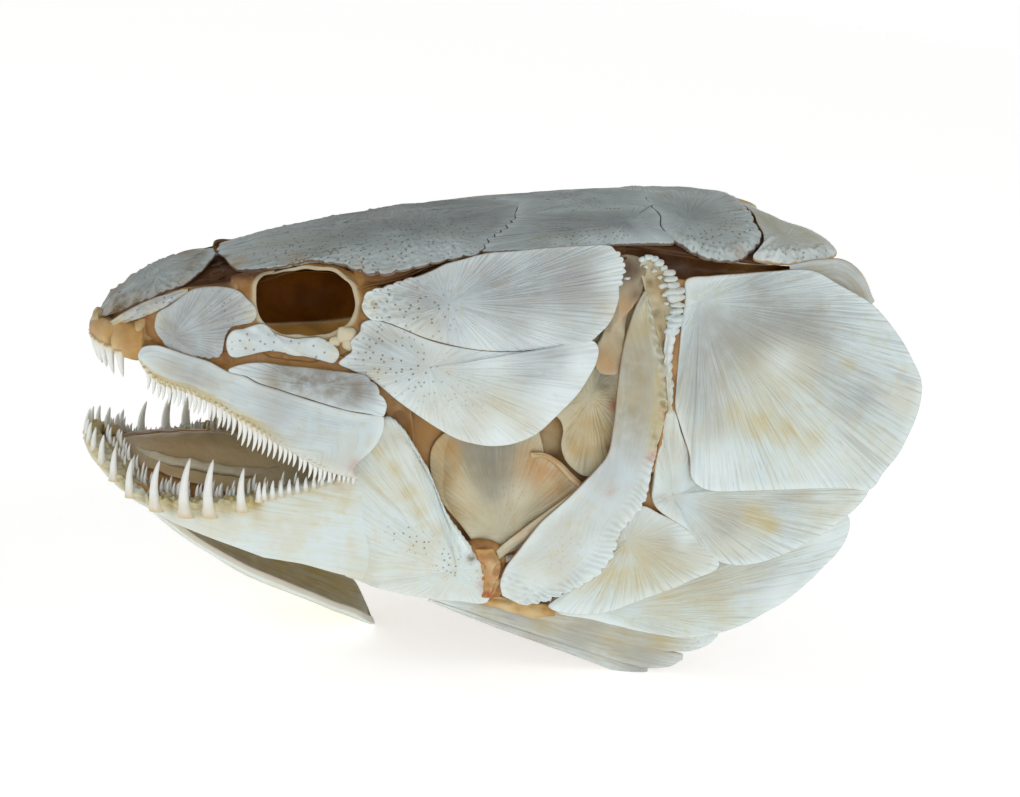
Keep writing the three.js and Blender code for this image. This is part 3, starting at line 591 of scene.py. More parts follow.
def dried_tissue(name, dark, middle, light, gloss=0.5, size=1.0, shine=1.42):
    """Skin, ligament and gum dried on the bone: thin and translucent, in broad patches from pale amber to
    near black; shrunk into creases 1 to 2 mm apart that are painted darker as painted shade, dully shiny."""
    material, tree, surface = blank(name)
    place = add(tree, "ShaderNodeTexCoord", {}, {}, "Object")
    value = {key: add(tree, "ShaderNodeAttribute", {"attribute_name": key}, {}, "Fac")
             for key in ("ochre", "brown", "rust", "pale")}
    broad = add(tree, "ShaderNodeTexNoise", {},
                {"Vector": place, "Scale": 110.0 * size, "Detail": 4.0, "Roughness": 0.55})
    crease = add(tree, "ShaderNodeTexNoise", {},
                 {"Vector": place, "Scale": 520.0 * size, "Detail": 5.0, "Roughness": 0.6, "Distortion": 0.8})
    paint = layered(tree, colour(middle), [
        (broad, 0.5, 0.3, 0.85, 1.0, dark),
        (broad, 0.5, 0.7, 0.85, 1.0, light),
        (crease, 0.5, 0.3, 0.3, 1.0, dark),
        # The attribute tints are stains, on some pieces brown and ochre painted shade and on the gum pale
        # painted highlights.
        (broad, 0.1, 0.5, 1.0, value["ochre"], "#b48748"),
        (crease, 0.1, 0.5, 1.0, value["brown"], "#4a2a10"),
        (crease, 0.2, 0.5, 1.0, value["rust"], "#a85430"),
        (broad, 0.1, 0.5, 1.0, value["pale"], "#cdb88c")])
    bump = add(tree, "ShaderNodeBump", {}, {"Strength": 0.5, "Distance": 0.0004, "Height": crease})
    shader = add(tree, "ShaderNodeBsdfPrincipled", {}, {
        "Base Color": paint, "Normal": bump, "Roughness": gloss, "IOR": shine, "Subsurface Weight": 0.1,
        "Subsurface Radius": (1.0, 0.5, 0.25), "Subsurface Scale": 0.001})
    tree.links.new(shader, surface)
    return material


def matt_paper():
    """Matt white acrylic of a light table, faintly lit from below; fibres 2 mm long just break the tone."""
    material, tree, surface = blank("matt_paper")
    place = add(tree, "ShaderNodeTexCoord", {}, {}, "Object")
    fibre = add(tree, "ShaderNodeTexNoise", {}, {"Vector": place, "Scale": 500.0, "Detail": 2.0})
    paint = layered(tree, colour("#f3f3f1"), [(fibre, 0.3, 0.7, 1.0, 1.0, "#f8f8f7")])
    shader = add(tree, "ShaderNodeBsdfPrincipled", {}, {
        "Base Color": paint, "Roughness": 0.9, "Emission Color": (1, 1, 1, 1), "Emission Strength": 0.55})
    tree.links.new(shader, surface)
    return material


cheek_bone = dermal_bone("dermal_bone_white", "#c6d3d5", "#c5c0ab", "#8c8e8f", "#977444", cloud=0.45)
# Darker, greyer copy of the dermal bone for the skull roof: partly greyer bone, partly painted shade on the
# upward faces.
roof_bone = dermal_bone("dermal_bone_roof", "#adb9b9", "#a9a692", "#6c7375", "#5c3d1b", grain=1.1, cloud=0.3,
    relief=1.3, rough=0.55, ochre="#a67f43", rim="#c3cfcf")
jaw_bone = dermal_bone("dermal_bone_jaw", "#d0dddd", "#cec6a8", "#a9aaa2", "#a8844c", grain=0.8, cloud=0.5)
gill_bone = dermal_bone("dermal_bone_gill_cover", "#cbd9da", "#c9c5ac", "#8f908d", "#b08a4c", grain=1.0,
    cloud=0.5, relief=0.8, rough=0.45, thin=0.1)
deep_bone = dermal_bone("cartilage_bone_ochre", "#bfba9f", "#b59a61", "#7f8077", "#8a6432", grain=0.7,
    cloud=0.6, relief=1.2, ochre="#b8924a", rim="#cfc9ae")
enamel = tooth_enamel()
dark_tissue = dried_tissue("dried_tissue_dark", "#341b08", "#55330f", "#7d5325")
amber_tissue = dried_tissue("dried_tissue_amber", "#80562a", "#a97d47", "#c7a677", gloss=0.45)
gum_tissue = dried_tissue("dried_gum_ochre", "#a0763c", "#c09a5c", "#d9c596", gloss=0.4)
pale_tissue = dried_tissue("dried_membrane_pale", "#a39778", "#b9af95", "#c9c2ae", gloss=0.45)
eye_lining = dried_tissue("dried_eye_lining", "#442304", "#603609", "#724611", gloss=0.6, size=0.6,
    shine=1.15)

# ---------------------------------------------------------------- putting pieces in place
SLOT = {cheek_bone: "bone_white", gill_bone: "bone_white", enamel: "bone_white", jaw_bone: "bone_cream",
        roof_bone: "bone_grey", deep_bone: "bone_ochre"}
SLOT |= dict.fromkeys((dark_tissue, amber_tissue, gum_tissue, eye_lining, pale_tissue), "dried_tissue")


def placed(name, data):
    """New object in the scene."""
    thing = bpy.data.objects.new(name, data)
    bpy.context.scene.collection.objects.link(thing)
    return thing


def put(name, shape, material, *nodes):
    """Makes the mesh of a shape in the row frame, its values as attributes, and sets it on the skull."""
    mesh = bpy.data.meshes.new(name)
    mesh.vertices.add(len(shape.points))
    mesh.vertices.foreach_set("co", to_row(shape.points).astype(np.float32).ravel())
    corners = np.concatenate([shape.quads.ravel(), shape.tris.ravel()])
    starts = np.concatenate([np.arange(len(shape.quads)) * 4,
        len(shape.quads) * 4 + np.arange(len(shape.tris)) * 3])
    mesh.loops.add(len(corners))
    mesh.loops.foreach_set("vertex_index", corners.astype(np.int32))
    mesh.polygons.add(len(starts))
    mesh.polygons.foreach_set("loop_start", starts.astype(np.int32))
    mesh.polygons.foreach_set("use_smooth", np.ones(len(starts), bool))
    for key, v in shape.values.items():
        vector = v.ndim == 2
        attribute = mesh.attributes.new(key, "FLOAT_VECTOR" if vector else "FLOAT", "POINT")
        attribute.data.foreach_set("vector" if vector else "value", v.astype(np.float32).ravel())
    mesh.update(calc_edges=True)
    mesh.materials.append(material)
    piece = placed(name, mesh)
    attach(piece, "root")
    if nodes:
        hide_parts(*nodes)


def both(name, shape, material, replace=True):
    """Puts the left piece and its mirror image, each in the place of its CAD node."""
    for side, form in (("left", shape), ("right", shape.mirrored())):
        label = f"{name}_{side}"
        put(label + ("_bone" if replace else ""), form, material, *([label] if replace else []))


# ---------------------------------------------------------------- sutures shared by neighbouring bones
POSTORBITAL_SUTURE = [(-31.1, 23.5), (-28.9, 23.1), (-26.7, 22.3), (-21.3, 20), (-13.5, 18.1), (-6, 17.5),
    (0.6, 17.9), (7, 18.8)]
MAXILLA_SUTURE = [(-55.5, 15.6), (-52.5, 14.7), (-50.8, 13.7), (-46.8, 12.3), (-42.7, 10.8), (-36.5, 8.8),
    (-32.3, 7.9), (-30, 7.5)]
JAW_SUTURE = [(-36.5, -24.3), (-35.5, -18), (-35, -10), (-35.5, -3.6)]
PTEROTIC_SUTURE = scallops([(-11, 21.9), (-9.5, 18.5), (-6, 15), (-1.5, 9)], 7, 0.7, 91, 1.0)
PARIETAL_SUTURE = scallops([(-1.5, 9), (5, 8.2), (12, 8.6), (18.5, 9.4), (25, 9)], 9, 0.5, 92, 1.0)
ROOF_REAR = [(24.4, 9.2), (24.8, 13.4), (23.5, 17.8), (24.5, 22.3)]
POSTTEMPORAL_SUTURE = [(43.4, 7), (43.3, 11.8), (42.5, 15.1), (42.2, 18.5), (41, 21.5), (38.4, 23.8)]

# ---------------------------------------------------------------- skull roof
both("nasal", plate([(-75.3, 0.2), (-75.2, 3.8), (-74.2, 6), (-72.5, 8), (-70.5, 9.4), (-66.5, 10.8),
        (-63, 11.2), (-60.6, 10.6), (-58.8, 9), (-56.6, 6), (-55, 0.2)], (-66, 5), on_roof, ROOF_THICK,
    (250, 22), fibre=(1.22, 28, 0.1), rough=0.25, lump=5, seed=3,
    spongy=[(-72, 6.5, 3, 0.9), (-66, 9.5, 4, 0.9), (-60.5, 7, 3, 0.7)],
    tint={"ochre": [(-73, 6, 3, 0.8), (-69, 9, 2.5, 0.7), (-62, 10, 2.5, 0.7), (-60, 4, 2.5, 0.6)],
        "brown": [(-74.5, 3, 2.4, 0.9), (-72.5, 7.5, 1.5, 0.9), (-69.5, 9.6, 1.2, 0.7), (-66, 10.8, 1.2, 0.6),
        (-59, 6, 2, 0.8), (-58, 1, 2, 0.8)], "grey": [(-66, 4, 6, 0.6)]}, pits=[(-66, 6, 7, 0.5)]), roof_bone)
both("frontal", plate([(-54, 0.1), (-53.7, 4.5), (-53.1, 9), *scallops([(-52.6, 10.6), (-51.3, 11.8),
        (-48.4, 13.1), (-45.1, 14), (-42.4, 14.1), (-39.8, 14.4), (-36.2, 16.4), (-34.3, 18)], 8, 0.3, 93),
        *scallops([(-34, 18.4), (-32, 20.4), (-29, 22.5), (-25, 23.2), (-19, 22.9), (-13, 22.3), (-11.3, 22)],
        8, 0.8, 94), *PTEROTIC_SUTURE, (0.3, 4), (2, 0.1)], (-20, 12), on_roof, ROOF_THICK, (500, 43),
    fibre=(1.16, 24, 0.07), rough=0.1, seed=4,
    spongy=[(-30, 20, 5, 0.6), (-23, 20, 5, 0.5), (-15, 20, 4, 0.5), (-37, 14, 4, 0.4), (-48, 10, 4, 0.3),
        (-42, 12, 4, 0.3), (-32, 14, 4, 0.3), (-22, 14, 4, 0.3)],
    tint={"ochre": [(-42, 14, 2, 0.6), (-32.5, 20, 2, 0.8), (-28, 23, 1.5, 0.6), (-52, 9, 2, 0.7)],
        "brown": [(-54, 5, 1.6, 0.9), (-53, 10.5, 1.2, 0.6)],
        "pale": [(-30, 19.5, 4, 0.6), (-23, 20.5, 4, 0.7), (-16, 20.5, 4, 0.7), (-34, 15.5, 3, 0.5)],
        "grey": [(-30, 8, 12, 0.5), (-10, 6, 12, 0.7), (-20, 10, 8, 0.4)]},
    pits=[(-20, 12, 15, 1.0), (-42, 8, 10, 0.8), (-32, 15, 8, 1.0)]), roof_bone)
both("parietal", plate([(2, 0.1), (0.3, 4), *PARIETAL_SUTURE, (25, 5), (27, 0.1)], (13, 4.5), on_roof,
    ROOF_THICK, (250, 14), fibre=(1.16, 24, 0.07), rough=0.1, seed=5, tint={"grey": [(13, 4, 9, 0.7)]},
    pits=[(13, 4.5, 8, 0.7)]), roof_bone)
both("pterotic", plate([*PTEROTIC_SUTURE, *PARIETAL_SUTURE[1:], *ROOF_REAR, (20, 23.4), (14, 23.9), (8, 23.6),
        (-4, 22.8)][::-1], (17, 17.2), on_roof, ROOF_THICK, (360, 22), fibre=(1.09, 28, 0.1), rough=0.08,
    seed=6,
    tint={"grey": [(17, 17, 6, 1.0), (6, 15, 7, 0.6)],
        "pale": [(3, 22.4, 2, 0.7), (9, 22.9, 3, 1.0), (15, 23.1, 3.2, 1.0), (21, 22.7, 3.2, 1.0)]},
    pits=[(6, 20, 6, 0.9), (15, 21, 4, 0.7)]), roof_bone)
both("extrascapular", plate([(27, 0.1), (25, 5), *ROOF_REAR, (25.2, 23), *scallops([(25.6, 23.3),
        (28.2, 25.2), (31.8, 26.1), (35.1, 26), *POSTTEMPORAL_SUTURE[::-1]], 12, 0.4, 95), (43.6, 0.1)],
    (29, 16), on_roof, ROOF_THICK, (430, 29), fibre=(1.16, 24, 0.08), rough=0.1, seed=7,
    spongy=[(28, 23.5, 3, 1.0), (33, 24.5, 3, 1.0), (38, 22.5, 3, 1.0), (41, 18, 2.5, 0.9),
        (42, 12, 2.5, 0.9)],
    tint={"grey": [(31, 14, 6, 0.8)], "ochre": [(36, 24.5, 1.6, 0.6)],
        "pale": [(28, 24, 2.5, 0.6), (33, 25, 3, 0.6), (40, 21, 3, 0.6)]},
    pits=[(30, 22, 5, 1.0), (39, 19, 5, 1.0), (42, 12, 4, 0.9)],
    relief=lambda flat, share, short: 0.5 * bell(short, 1.6, 1.2) * smooth((flat[..., 1] - 16) / 5)),
    roof_bone)
both("posttemporal", plate([(43.9, 7), (47.5, 11.2), (50.6, 13.4), (55.6, 14.8), (57.3, 19.2), (56.9, 20.9),
        (51.5, 24.4), (46.9, 25.9), (41.3, 26.5), (38.2, 25.6), (39.2, 24.4), (41.6, 21.9), (42.9, 18.6),
        (43.2, 15.2), (43.9, 11.8)], (46.5, 20), on_roof, ROOF_THICK, (290, 22), fibre=(1.16, 28, 0.06),
    rough=0.12, seed=8,
    spongy=[(41, 25.3, 2.5, 1.0), (45, 25, 2.5, 1.0), (49, 24, 2.5, 1.0), (53, 22.5, 2.5, 1.0),
        (55.5, 20.5, 2, 0.9)],
    tint={"ochre": [(47, 14, 5, 0.5), (51, 18, 5, 0.35)],
        "pale": [(42, 25.5, 2, 0.6), (50, 24, 2, 0.6), (55, 21, 1.6, 0.6)], "grey": [(47, 18, 8, 0.7)]},
    pits=[(43, 25.3, 3, 1.0), (48, 24.5, 3, 1.0), (53, 22.5, 3, 0.9)],
    relief=lambda flat, share, short: 0.7 * bell(short, 1.8, 1.3) * smooth((flat[..., 1] - 19) / 3)),
    gill_bone)

# ---------------------------------------------------------------- cheek
# The grey clouds on this plate are partly grey bone, partly painted shade on the upward-leaning upper cheek.
both("postorbital_upper", plate([(-32.4, 25.4),
        *scallops([(-31.9, 27.1), (-30.8, 28.1), (-28.5, 28.7), (-26.2, 29.5), (-23.4, 30.4)], 5, 0.25, 96),
        (-20.5, 31.4), (-17.7, 32.7), (-14.8, 33.4), (-12.6, 34), (-10.3, 34.4), (-5.7, 34.6), (-0.4, 34.9),
        (5.5, 35), (11.2, 34.7), *scallops([(12, 33.8), (13, 31.8), (12.7, 29.5), (12.2, 28)], 6, 0.55, 97),
        (12.1, 26.1), (11.4, 23.9), (10.2, 21.6), (8, 19.6), *POSTORBITAL_SUTURE[::-1]], (-18, 26.3),
    on_cheek(1.2), CHEEK_THICK, (600, 38), fibre=(1.0, 28, 0.1), rough=0.08, dome=0.6, seed=9, edge=0.24,
    spongy=[(-30, 26, 3.5, 0.8), (-25, 26, 4, 0.5)],
    tint={"grey": [(-14, 27, 9, 0.7), (-1, 28, 9, 0.6), (-22, 28, 5, 0.5), (6, 30, 5, 0.4)],
        "ochre": [(-31, 26, 1.6, 0.5), (-22, 22, 3, 0.3), (11, 24, 2, 0.3)],
        "pale": [(-12, 20.5, 4, 0.6), (-2, 20, 4, 0.6), (11, 30, 3, 0.6)]},
    pits=[(-28, 25.5, 5, 1.0), (-21, 24.5, 5, 0.9)]), cheek_bone)
both("postorbital_lower", plate([(-37, 16.4), (-35.8, 17.5), (-34.6, 18.4), (-34.8, 19.9), (-33, 21.6),
        (-32.6, 22.9), *POSTORBITAL_SUTURE, (8.1, 17.4), (7.6, 14.8), (6.3, 12.5), (3.9, 9.1), (0.9, 6.3),
        (-2.2, 3.5), (-4.6, 2.1), (-8.1, 1.1), (-11.7, 1), (-15.2, 1.8), (-17.5, 2.7), (-20.9, 4.8),
        (-24.3, 7.3), (-27.6, 9.9), (-30.2, 12.3), (-32.4, 14), (-35.1, 15.3)], (-22, 15.5), on_cheek(1.2),
    CHEEK_THICK, (560, 28), fibre=(1.09, 28, 0.05), rough=0.1, dome=0.7, seed=10, edge=0.24,
    tint={"grey": [(-15, 12.5, 4, 0.6), (-4, 14.5, 4, 0.6), (-30, 19, 4, 0.5), (1, 14.5, 4, 0.6),
        (-25, 16, 3, 0.3)],
        "ochre": [(-14, 8, 6, 0.4), (-8, 6, 5, 0.4), (-20, 10, 4, 0.35), (-31, 14.5, 1.6, 0.6)],
        "pale": [(-12, 16, 5, 0.6), (0, 9, 5, 0.9), (-10, 3, 4, 0.9), (-18, 8, 5, 0.5), (5, 15, 3, 0.8)]},
    pits=[(-30, 18.5, 5, 1.0), (-24, 15, 5, 0.8), (-16, 10, 5, 0.4)]), cheek_bone)
both("infraorbital", plate([(-55.5, 19.2), (-55.2, 21), (-54.1, 22.2), (-52.2, 22.5), (-50.4, 23.1),
        (-48.8, 23.1), (-47.8, 22), (-46, 21.2), (-44, 20.7), (-41.9, 20.8), (-39.8, 20.8), (-38.1, 19.9),
        (-36.7, 18.5), (-36.7, 17.4), (-37.6, 16.4), (-39.6, 16.8), (-42.1, 17.5), (-44.6, 17.8), (-47, 18.5),
        (-49.5, 18.7), (-51.6, 18.5), (-52.9, 17.8), (-54.9, 17.8)], (-45.5, 19.6), on_cheek(1.2),
    CHEEK_THICK, (290, 14), edge=0.5, dome=0.5, rough=0.22, lump=2.6, seed=11,
    tint={"ochre": [(-44, 18, 2, 0.3), (-37.5, 17.5, 1.5, 0.5)]},
    pits=[(-52, 20, 3, 1), (-46, 19, 3, 1), (-40, 19, 3, 1)]), cheek_bone)


def lacrimal_ring(flat, share, short):
    """Shallow groove 1.7 mm round the canal's opening."""
    return -0.14 * bell(np.hypot(flat[..., 0] + 65, flat[..., 1] - 22), 1.7, 0.35)


# The grey and brown on the lacrimal are partly grey bone, partly painted shade on the plate facing away from
# the light.
both("lacrimal", plate([(-66.8, 23.4), (-66.3, 24.7), (-64.2, 26.1), (-62.4, 27.4), (-60.3, 28.8),
        (-57.3, 29.3), (-54.1, 29.1), (-52.5, 28.5), (-51.3, 27.3), (-50, 25.8), (-49.9, 24.6), (-50.6, 23.5),
        (-52.1, 23.1), (-54, 22.7), (-55.2, 21.3), (-55.7, 19.7), (-56.1, 18.2), *scallops([(-56.4, 17.9),
        (-58.2, 17.5), (-60.7, 17.6), (-63.1, 17.9), (-64.7, 18.6), (-65.8, 19.8)], 8, 0.3, 98),
        (-66.6, 20.9), (-67, 22.2)], (-64, 21), on_cheek(0.8), CHEEK_THICK, (320, 18), fibre=(1.36, 28, 0.09),
    rough=0.12, dome=0.5, seed=12,
    tint={"grey": [(-58, 24, 7, 1.1), (-62, 21, 5, 1.0), (-60, 26.5, 4, 0.6)],
        "brown": [(-59, 23.5, 6, 0.14)], "ochre": [(-66, 23.5, 1.6, 0.5), (-50.8, 24.4, 1.2, 0.5)]},
    pits=[(-55, 26, 4, 0.6)], relief=lacrimal_ring), cheek_bone)
both("antorbital", strip([(-75, 21.1), (-74, 22.1), (-71.1, 24.6), (-66.9, 26.9), (-63.2, 28.2),
        (-61.8, 28.7), (-61, 28.8)], [(-75.3, 20.6), (-73.8, 20.9), (-71, 22.5), (-67.6, 24.1), (-64.1, 26.1),
        (-61.8, 27.6), (-61, 28.2)], on_cheek(0.4), CHEEK_THICK, (180, 18), edge=0.4, bulge=0.35, rough=0.2,
    lump=3, seed=13, spongy=[(-68, 25, 5, 0.5)],
    tint={"ochre": [(-73.5, 22, 2.5, 0.8), (-61, 29.5, 2, 0.6), (-67, 24.5, 2, 0.4)],
        "brown": [(-75, 21, 1.5, 0.5)], "grey": [(-68, 26, 6, 0.8), (-62, 29, 3, 0.6)]},
    pits=[(-69, 25, 4, 0.7), (-64, 28, 3, 0.6)]), cheek_bone)
NODULES = [(-35.5, 20.7, (2.1, 0.9, 1.6)), (-37.2, 19.8, (1.0, 0.6, 1.0)), (-34.6, 19.3, (1.4, 0.6, 1.1))]
both("cheek_nodule", joined([bead(at(on_cheek(0.4), (x, z))[0], size, k, {"pale": [(x, z, 3, 0.7)]}) for k,
        (x, z, size) in enumerate(NODULES)]), deep_bone, replace=False)

# ---------------------------------------------------------------- upper jaw
# The grey and brown on the supramaxilla are partly its grey patch, partly painted shade.
both("supramaxilla", plate([*MAXILLA_SUTURE[::-1], (-55.4, 16), (-52.7, 16.9), (-49.8, 17.1), (-46.5, 16.6),
        (-42.3, 16.1), (-36.9, 15.3),
        *scallops([(-34, 14.9), (-31.8, 13.4), (-30.4, 11), (-29.4, 8.8)], 3, 0.5, 99)], (-41, 13.2),
    on_cheek(2.2), CHEEK_THICK, (290, 14), fibre=(1.36, 28, 0.05), rough=0.1, lump=5, dome=0.4, seed=14,
    tint={"grey": [(-46, 14, 4, 1.3), (-41, 14, 4, 1.5), (-37, 13, 4, 1.3), (-33, 13, 2.5, 1.2)],
        "brown": [(-44, 14, 4, 0.5), (-38, 13.4, 3.6, 0.5), (-34, 12, 2, 0.4)],
        "ochre": [(-48, 13, 3, 0.3)]}), cheek_bone)
MAXILLA_EDGE = [(-70, 16.6), (-69.2, 15), (-66.8, 12.8), (-62, 11.4), (-58, 9.6), (-54, 7), (-49.5, 3.9),
    (-45, 1), (-41, -1.6), (-37.5, -2.9), (-34.9, -3.6)]
maxilla_top = [(-70, 17.6), (-69.2, 18.8), (-67, 19.4), (-64.6, 18.9), (-62, 18.1), (-58.4, 17),
    *[(x, z - 0.1) for x, z in MAXILLA_SUTURE], (-30.1, 5), (-31.3, 2.6), (-33, 0.8), (-34.9, -0.6),
    (-35.3, -1.7), (-34.9, -3.1)]


def gum(flat, full):
    """Ochre gum between the maxilla's tooth bases: it starts 0.74 of the way down and fades to the rear."""
    return 0.95 * smooth((full - 0.74) * 7) * (0.25 + 0.75 * smooth((-44 - flat[..., 0]) / 12))


both("maxilla", strip(maxilla_top, MAXILLA_EDGE, on_cheek(1.8), CHEEK_THICK, (290, 20), edge=0.4, bulge=0.5,
    rough=0.1, seed=15,
    tint={"ochre": gum, "rust": [(-35, -1.4, 1.5, 0.5)], "grey": [(-48, 9, 5, 0.4), (-62, 15, 4, 0.4)],
        "brown": [(-60, 14, 6, 0.1), (-42, 5, 6, 0.08)]},
    relief=lambda flat, along, full: 0.2 * smooth((full - 0.82) * 8) * smooth((-43 - flat[..., 0]) / 5)
    * np.sin(2 * np.pi * flat[..., 0] / 0.86)), cheek_bone)


def maxilla_teeth():
    """Forty-two slender teeth on the maxilla's edge, longest a third of the way back, leaning forwards."""
    rng = np.random.default_rng(21)
    row = run(MAXILLA_EDGE[1:])
    x = np.linspace(-68.8, -35.4, 42) + rng.uniform(-0.1, 0.1, 42)
    length = np.interp(x, [-69, -60, -55, -50, -48, -41, -38, -35], [3.2, 3.3, 4.1, 4.0, 3.0, 2.7, 1.5, 1.1])
    length = length * rng.uniform(0.85, 1.1, 42)
    root = on_cheek(1.8)(x, row(x) + 0.9, 0.55)
    tip = root + np.stack([-0.02 * length - 0.12 * length * smooth((x + 62) / 8), 0.12 * length,
        -length - 0.9], -1)
    return cones(root, tip, 0.3 + 0.065 * length, np.stack([0.1 * length, 0 * x, 0 * x], -1), 12, 11)


both("maxilla_teeth", maxilla_teeth(), enamel, replace=False)


def snout(t, out):
    """Half ring of the snout: t from the midline (0) to the maxilla (1), out beyond the gum line."""
    turn = t * math.pi * 0.3
    return SNOUT_X - (SNOUT_REACH + out) * np.cos(turn), -(SNOUT_HALF + out) * np.sin(turn)


def premaxilla():
    """Section carried round the snout: outer face, rounded gum edge and inner face, lumpy and folded."""
    t = np.linspace(0.015, 1.15, 150)[:, None]
    a = np.linspace(0, 2 * np.pi, 40, endpoint=False)[None]
    low = run([(0, 17.4), (0.5, 17), (1, 15.8), (1.15, 16.4)])(t)
    high = run([(0, 22), (0.5, 22), (0.8, 22.5), (1.15, 22.4)])(t)
    z = (low + high) / 2 + (high - low) / 2 * blunt(np.sin(a), 0.85)
    out = -1.6 + 1.9 * blunt(np.cos(a), 0.85) - 0.16 * np.maximum(z - 18.5, 0)
    out = out - 0.5 * bell(t, 0.66, 0.05) * (np.cos(a) > 0) * np.cos(a)
    x, y = snout(t, out)
    rows = np.dstack([x, y, z])
    rows = rows + 0.22 * lumps(rows, 5, 31)[..., None] * np.dstack([x - SNOUT_X, y, 0 * y]) / SNOUT_REACH
    along = 20 * t + 0 * z
    # The pale spots are painted highlights on the swollen lobes.
    tint = {"ochre": [(4, 19, 5, 0.6)], "brown": [(1, 21, 3, 0.5), (13.2, 19, 0.7, 0.7)],
            "pale": [(16, 18, 2.5, 0.6), (9, 18, 2, 0.5)]}
    return closed_rows(rows, bare(np.dstack([z, out, along])) | painted(np.dstack([along, z]), tint))


both("premaxilla", premaxilla(), gum_tissue)
# The pale spots on the fold are painted highlights.
both("gum_fold", plate([(-74, 17), (-73.9, 19.5), (-72.8, 21.6), (-70.8, 23), (-68.4, 23.6), (-66.9, 22.8),
        (-66.5, 20.8), (-67.5, 19.4), (-69.6, 18.9), (-70.6, 17.4), (-71.4, 16.2), (-73, 16)], (-71, 20.2),
    on_cheek(-0.4), 2.2, (170, 11), dome=1.3, rough=0.42, lump=2.6, edge=0.8, seed=35,
    tint={"pale": [(-71.5, 21.4, 1.5, 1.0), (-69.4, 22.3, 1.3, 0.9), (-72.4, 18.2, 1.3, 0.9),
        (-70.2, 19.3, 1.0, 0.7)], "brown": [(-67, 21, 1.5, 0.5)]}), gum_tissue, replace=False)


def premaxilla_teeth():
    """Slender, almost straight teeth round the front of the snout, the fifth and sixth longest."""
    t = np.array([0.09, 0.21, 0.34, 0.47, 0.62, 0.8])
    length = np.array([3.6, 4.0, 4.1, 4.3, 4.9, 4.6])
    low = run([(0, 17.4), (0.5, 17), (1, 15.8)])(t)
    x, y = snout(t, -0.5)
    root = np.stack([x, y, low + 1.4], -1)
    tip = root + np.stack([0.04 * length, 0.05 * length, -length - 0.6], -1)
    return cones(root, tip, 0.5 + 0.07 * length, np.stack([-0.05 * length, 0 * x, 0 * x], -1), 14, 12)


both("premaxilla_teeth", premaxilla_teeth(), enamel, replace=False)

# ---------------------------------------------------------------- lower jaw
JAW_RIM = run([(0, 0.6), (12, 0.4), (20, -0.9), (30, -3.3), (40, -5.6), (50, -6.8), (65, -7.2), (80, -7),
    (96, -5.5), (105.3, -4.2), (112, -5), (118, -8)])
JAW_LOW = run([(0, -5), (10, -4.9), (20, -5.7), (40, -8.8), (60, -12.4), (80, -16.3), (96, -20.3),
    (104.6, -23.6), (112, -25.4), (118, -25)])
FANGS = np.array([(4, 3), (10, 3.4), (16, 3.6), (23, 4.2), (31, 4.9), (40, 5.2), (51.5, 6.8), (63, 7.8),
    (71.7, 8.1), (83, 5.9)])
SOCKETS = [27, 35.5, 45.5, 57.2, 67.4, 77.4, 88]


def jaw(s, inward):
    """Point in plan on the lower jaw: s is degrees round its curved front, then 90 and the mm behind it."""
    turn = np.radians(np.minimum(s, 90))
    x = np.where(s <= 90, JAW_BEND_X - (JAW_NOSE - inward) * np.cos(turn), JAW_BEND_X + s - 90)
    y = np.where(s <= 90, -(JAW_HALF - inward) * np.sin(turn), -(jaw_side(x) - inward))
    return x, y


def dentary():
    """Rounded box section carried round the jaw, fuller below the teeth. Its gum edge is ragged and sinks
    into a socket between each pair of fangs."""
    s = np.linspace(0.6, 118, 420)[:, None]
    a = np.linspace(0, 2 * np.pi, 60, endpoint=False)[None]
    sin, cos = blunt(np.sin(a), 0.6), blunt(np.cos(a), 0.6)
    rim, low = JAW_RIM(s), JAW_LOW(s)
    z = (rim + low) / 2 + (rim - low) / 2 * sin
    up = (z - low) / (rim - low)
    inward = 1.9 - (1.05 + 0.65 * up) * cos + 0.7 * (1 - up) ** 2 + 0.3 * up ** 4
    inward = inward + 1.6 * smooth((s - 110.5) / 4)
    along = np.dstack([s + 0 * z, rim - z])
    socket = spots(along, [(place, 1.0, 2.2, 1.0) for place in SOCKETS])
    outward = np.clip(cos, 0, 1)
    x, y = jaw(s, inward)
    rows = np.dstack([x, y, z])
    gum_line = smooth((2.6 - (rim - z)) / 1.6) * smooth((92 - s) / 6)
    swell = 0.1 * lumps(rows, 7, 41) + 0.2 * gum_line * lumps(rows, 1.5, 42) - 0.75 * socket
    x, y = jaw(s, inward - outward * swell)
    rows = np.dstack([x, y, z + 0.25 * gum_line * lumps(rows, 1.3, 44) * np.clip(sin, 0, 1)])
    down = 30 * np.radians(np.minimum(s, 90)) + np.maximum(s - 90, 0)
    dirt = lumps(np.dstack([z * 3 + 0.75 * down, 0 * z, 0.12 * down + 0 * z]), 3, 45)
    values = bare(np.dstack([z + 0.25 * down, 0 * z, down + 0 * z]), face=0.7 + 0.3 * cos,
                  furrow=0.5 * smooth(0.55 - up) * smooth(dirt - 0.3))
    tint = {"ochre": [(14, 2, 8, 0.5), (30, 4, 8, 0.2), (97, 2.5, 4, 0.5), (104, 3, 4, 0.4), (88, 4, 3, 0.4)],
            "brown": [(place, 0.9, 1.5, 0.5) for place in SOCKETS], "rust": [(104, 0.5, 2, 0.3)]}
    values |= painted(along, tint, [(12, 4, 6, 0.6)])
    wash = 0.9 * smooth((3.2 - (rim - z)) / 2) * smooth((94 - s) / 8)
    values["ochre"] = np.clip(values["ochre"] + wash, 0, 1)
    return closed_rows(rows, values)


both("dentary", dentary(), jaw_bone)


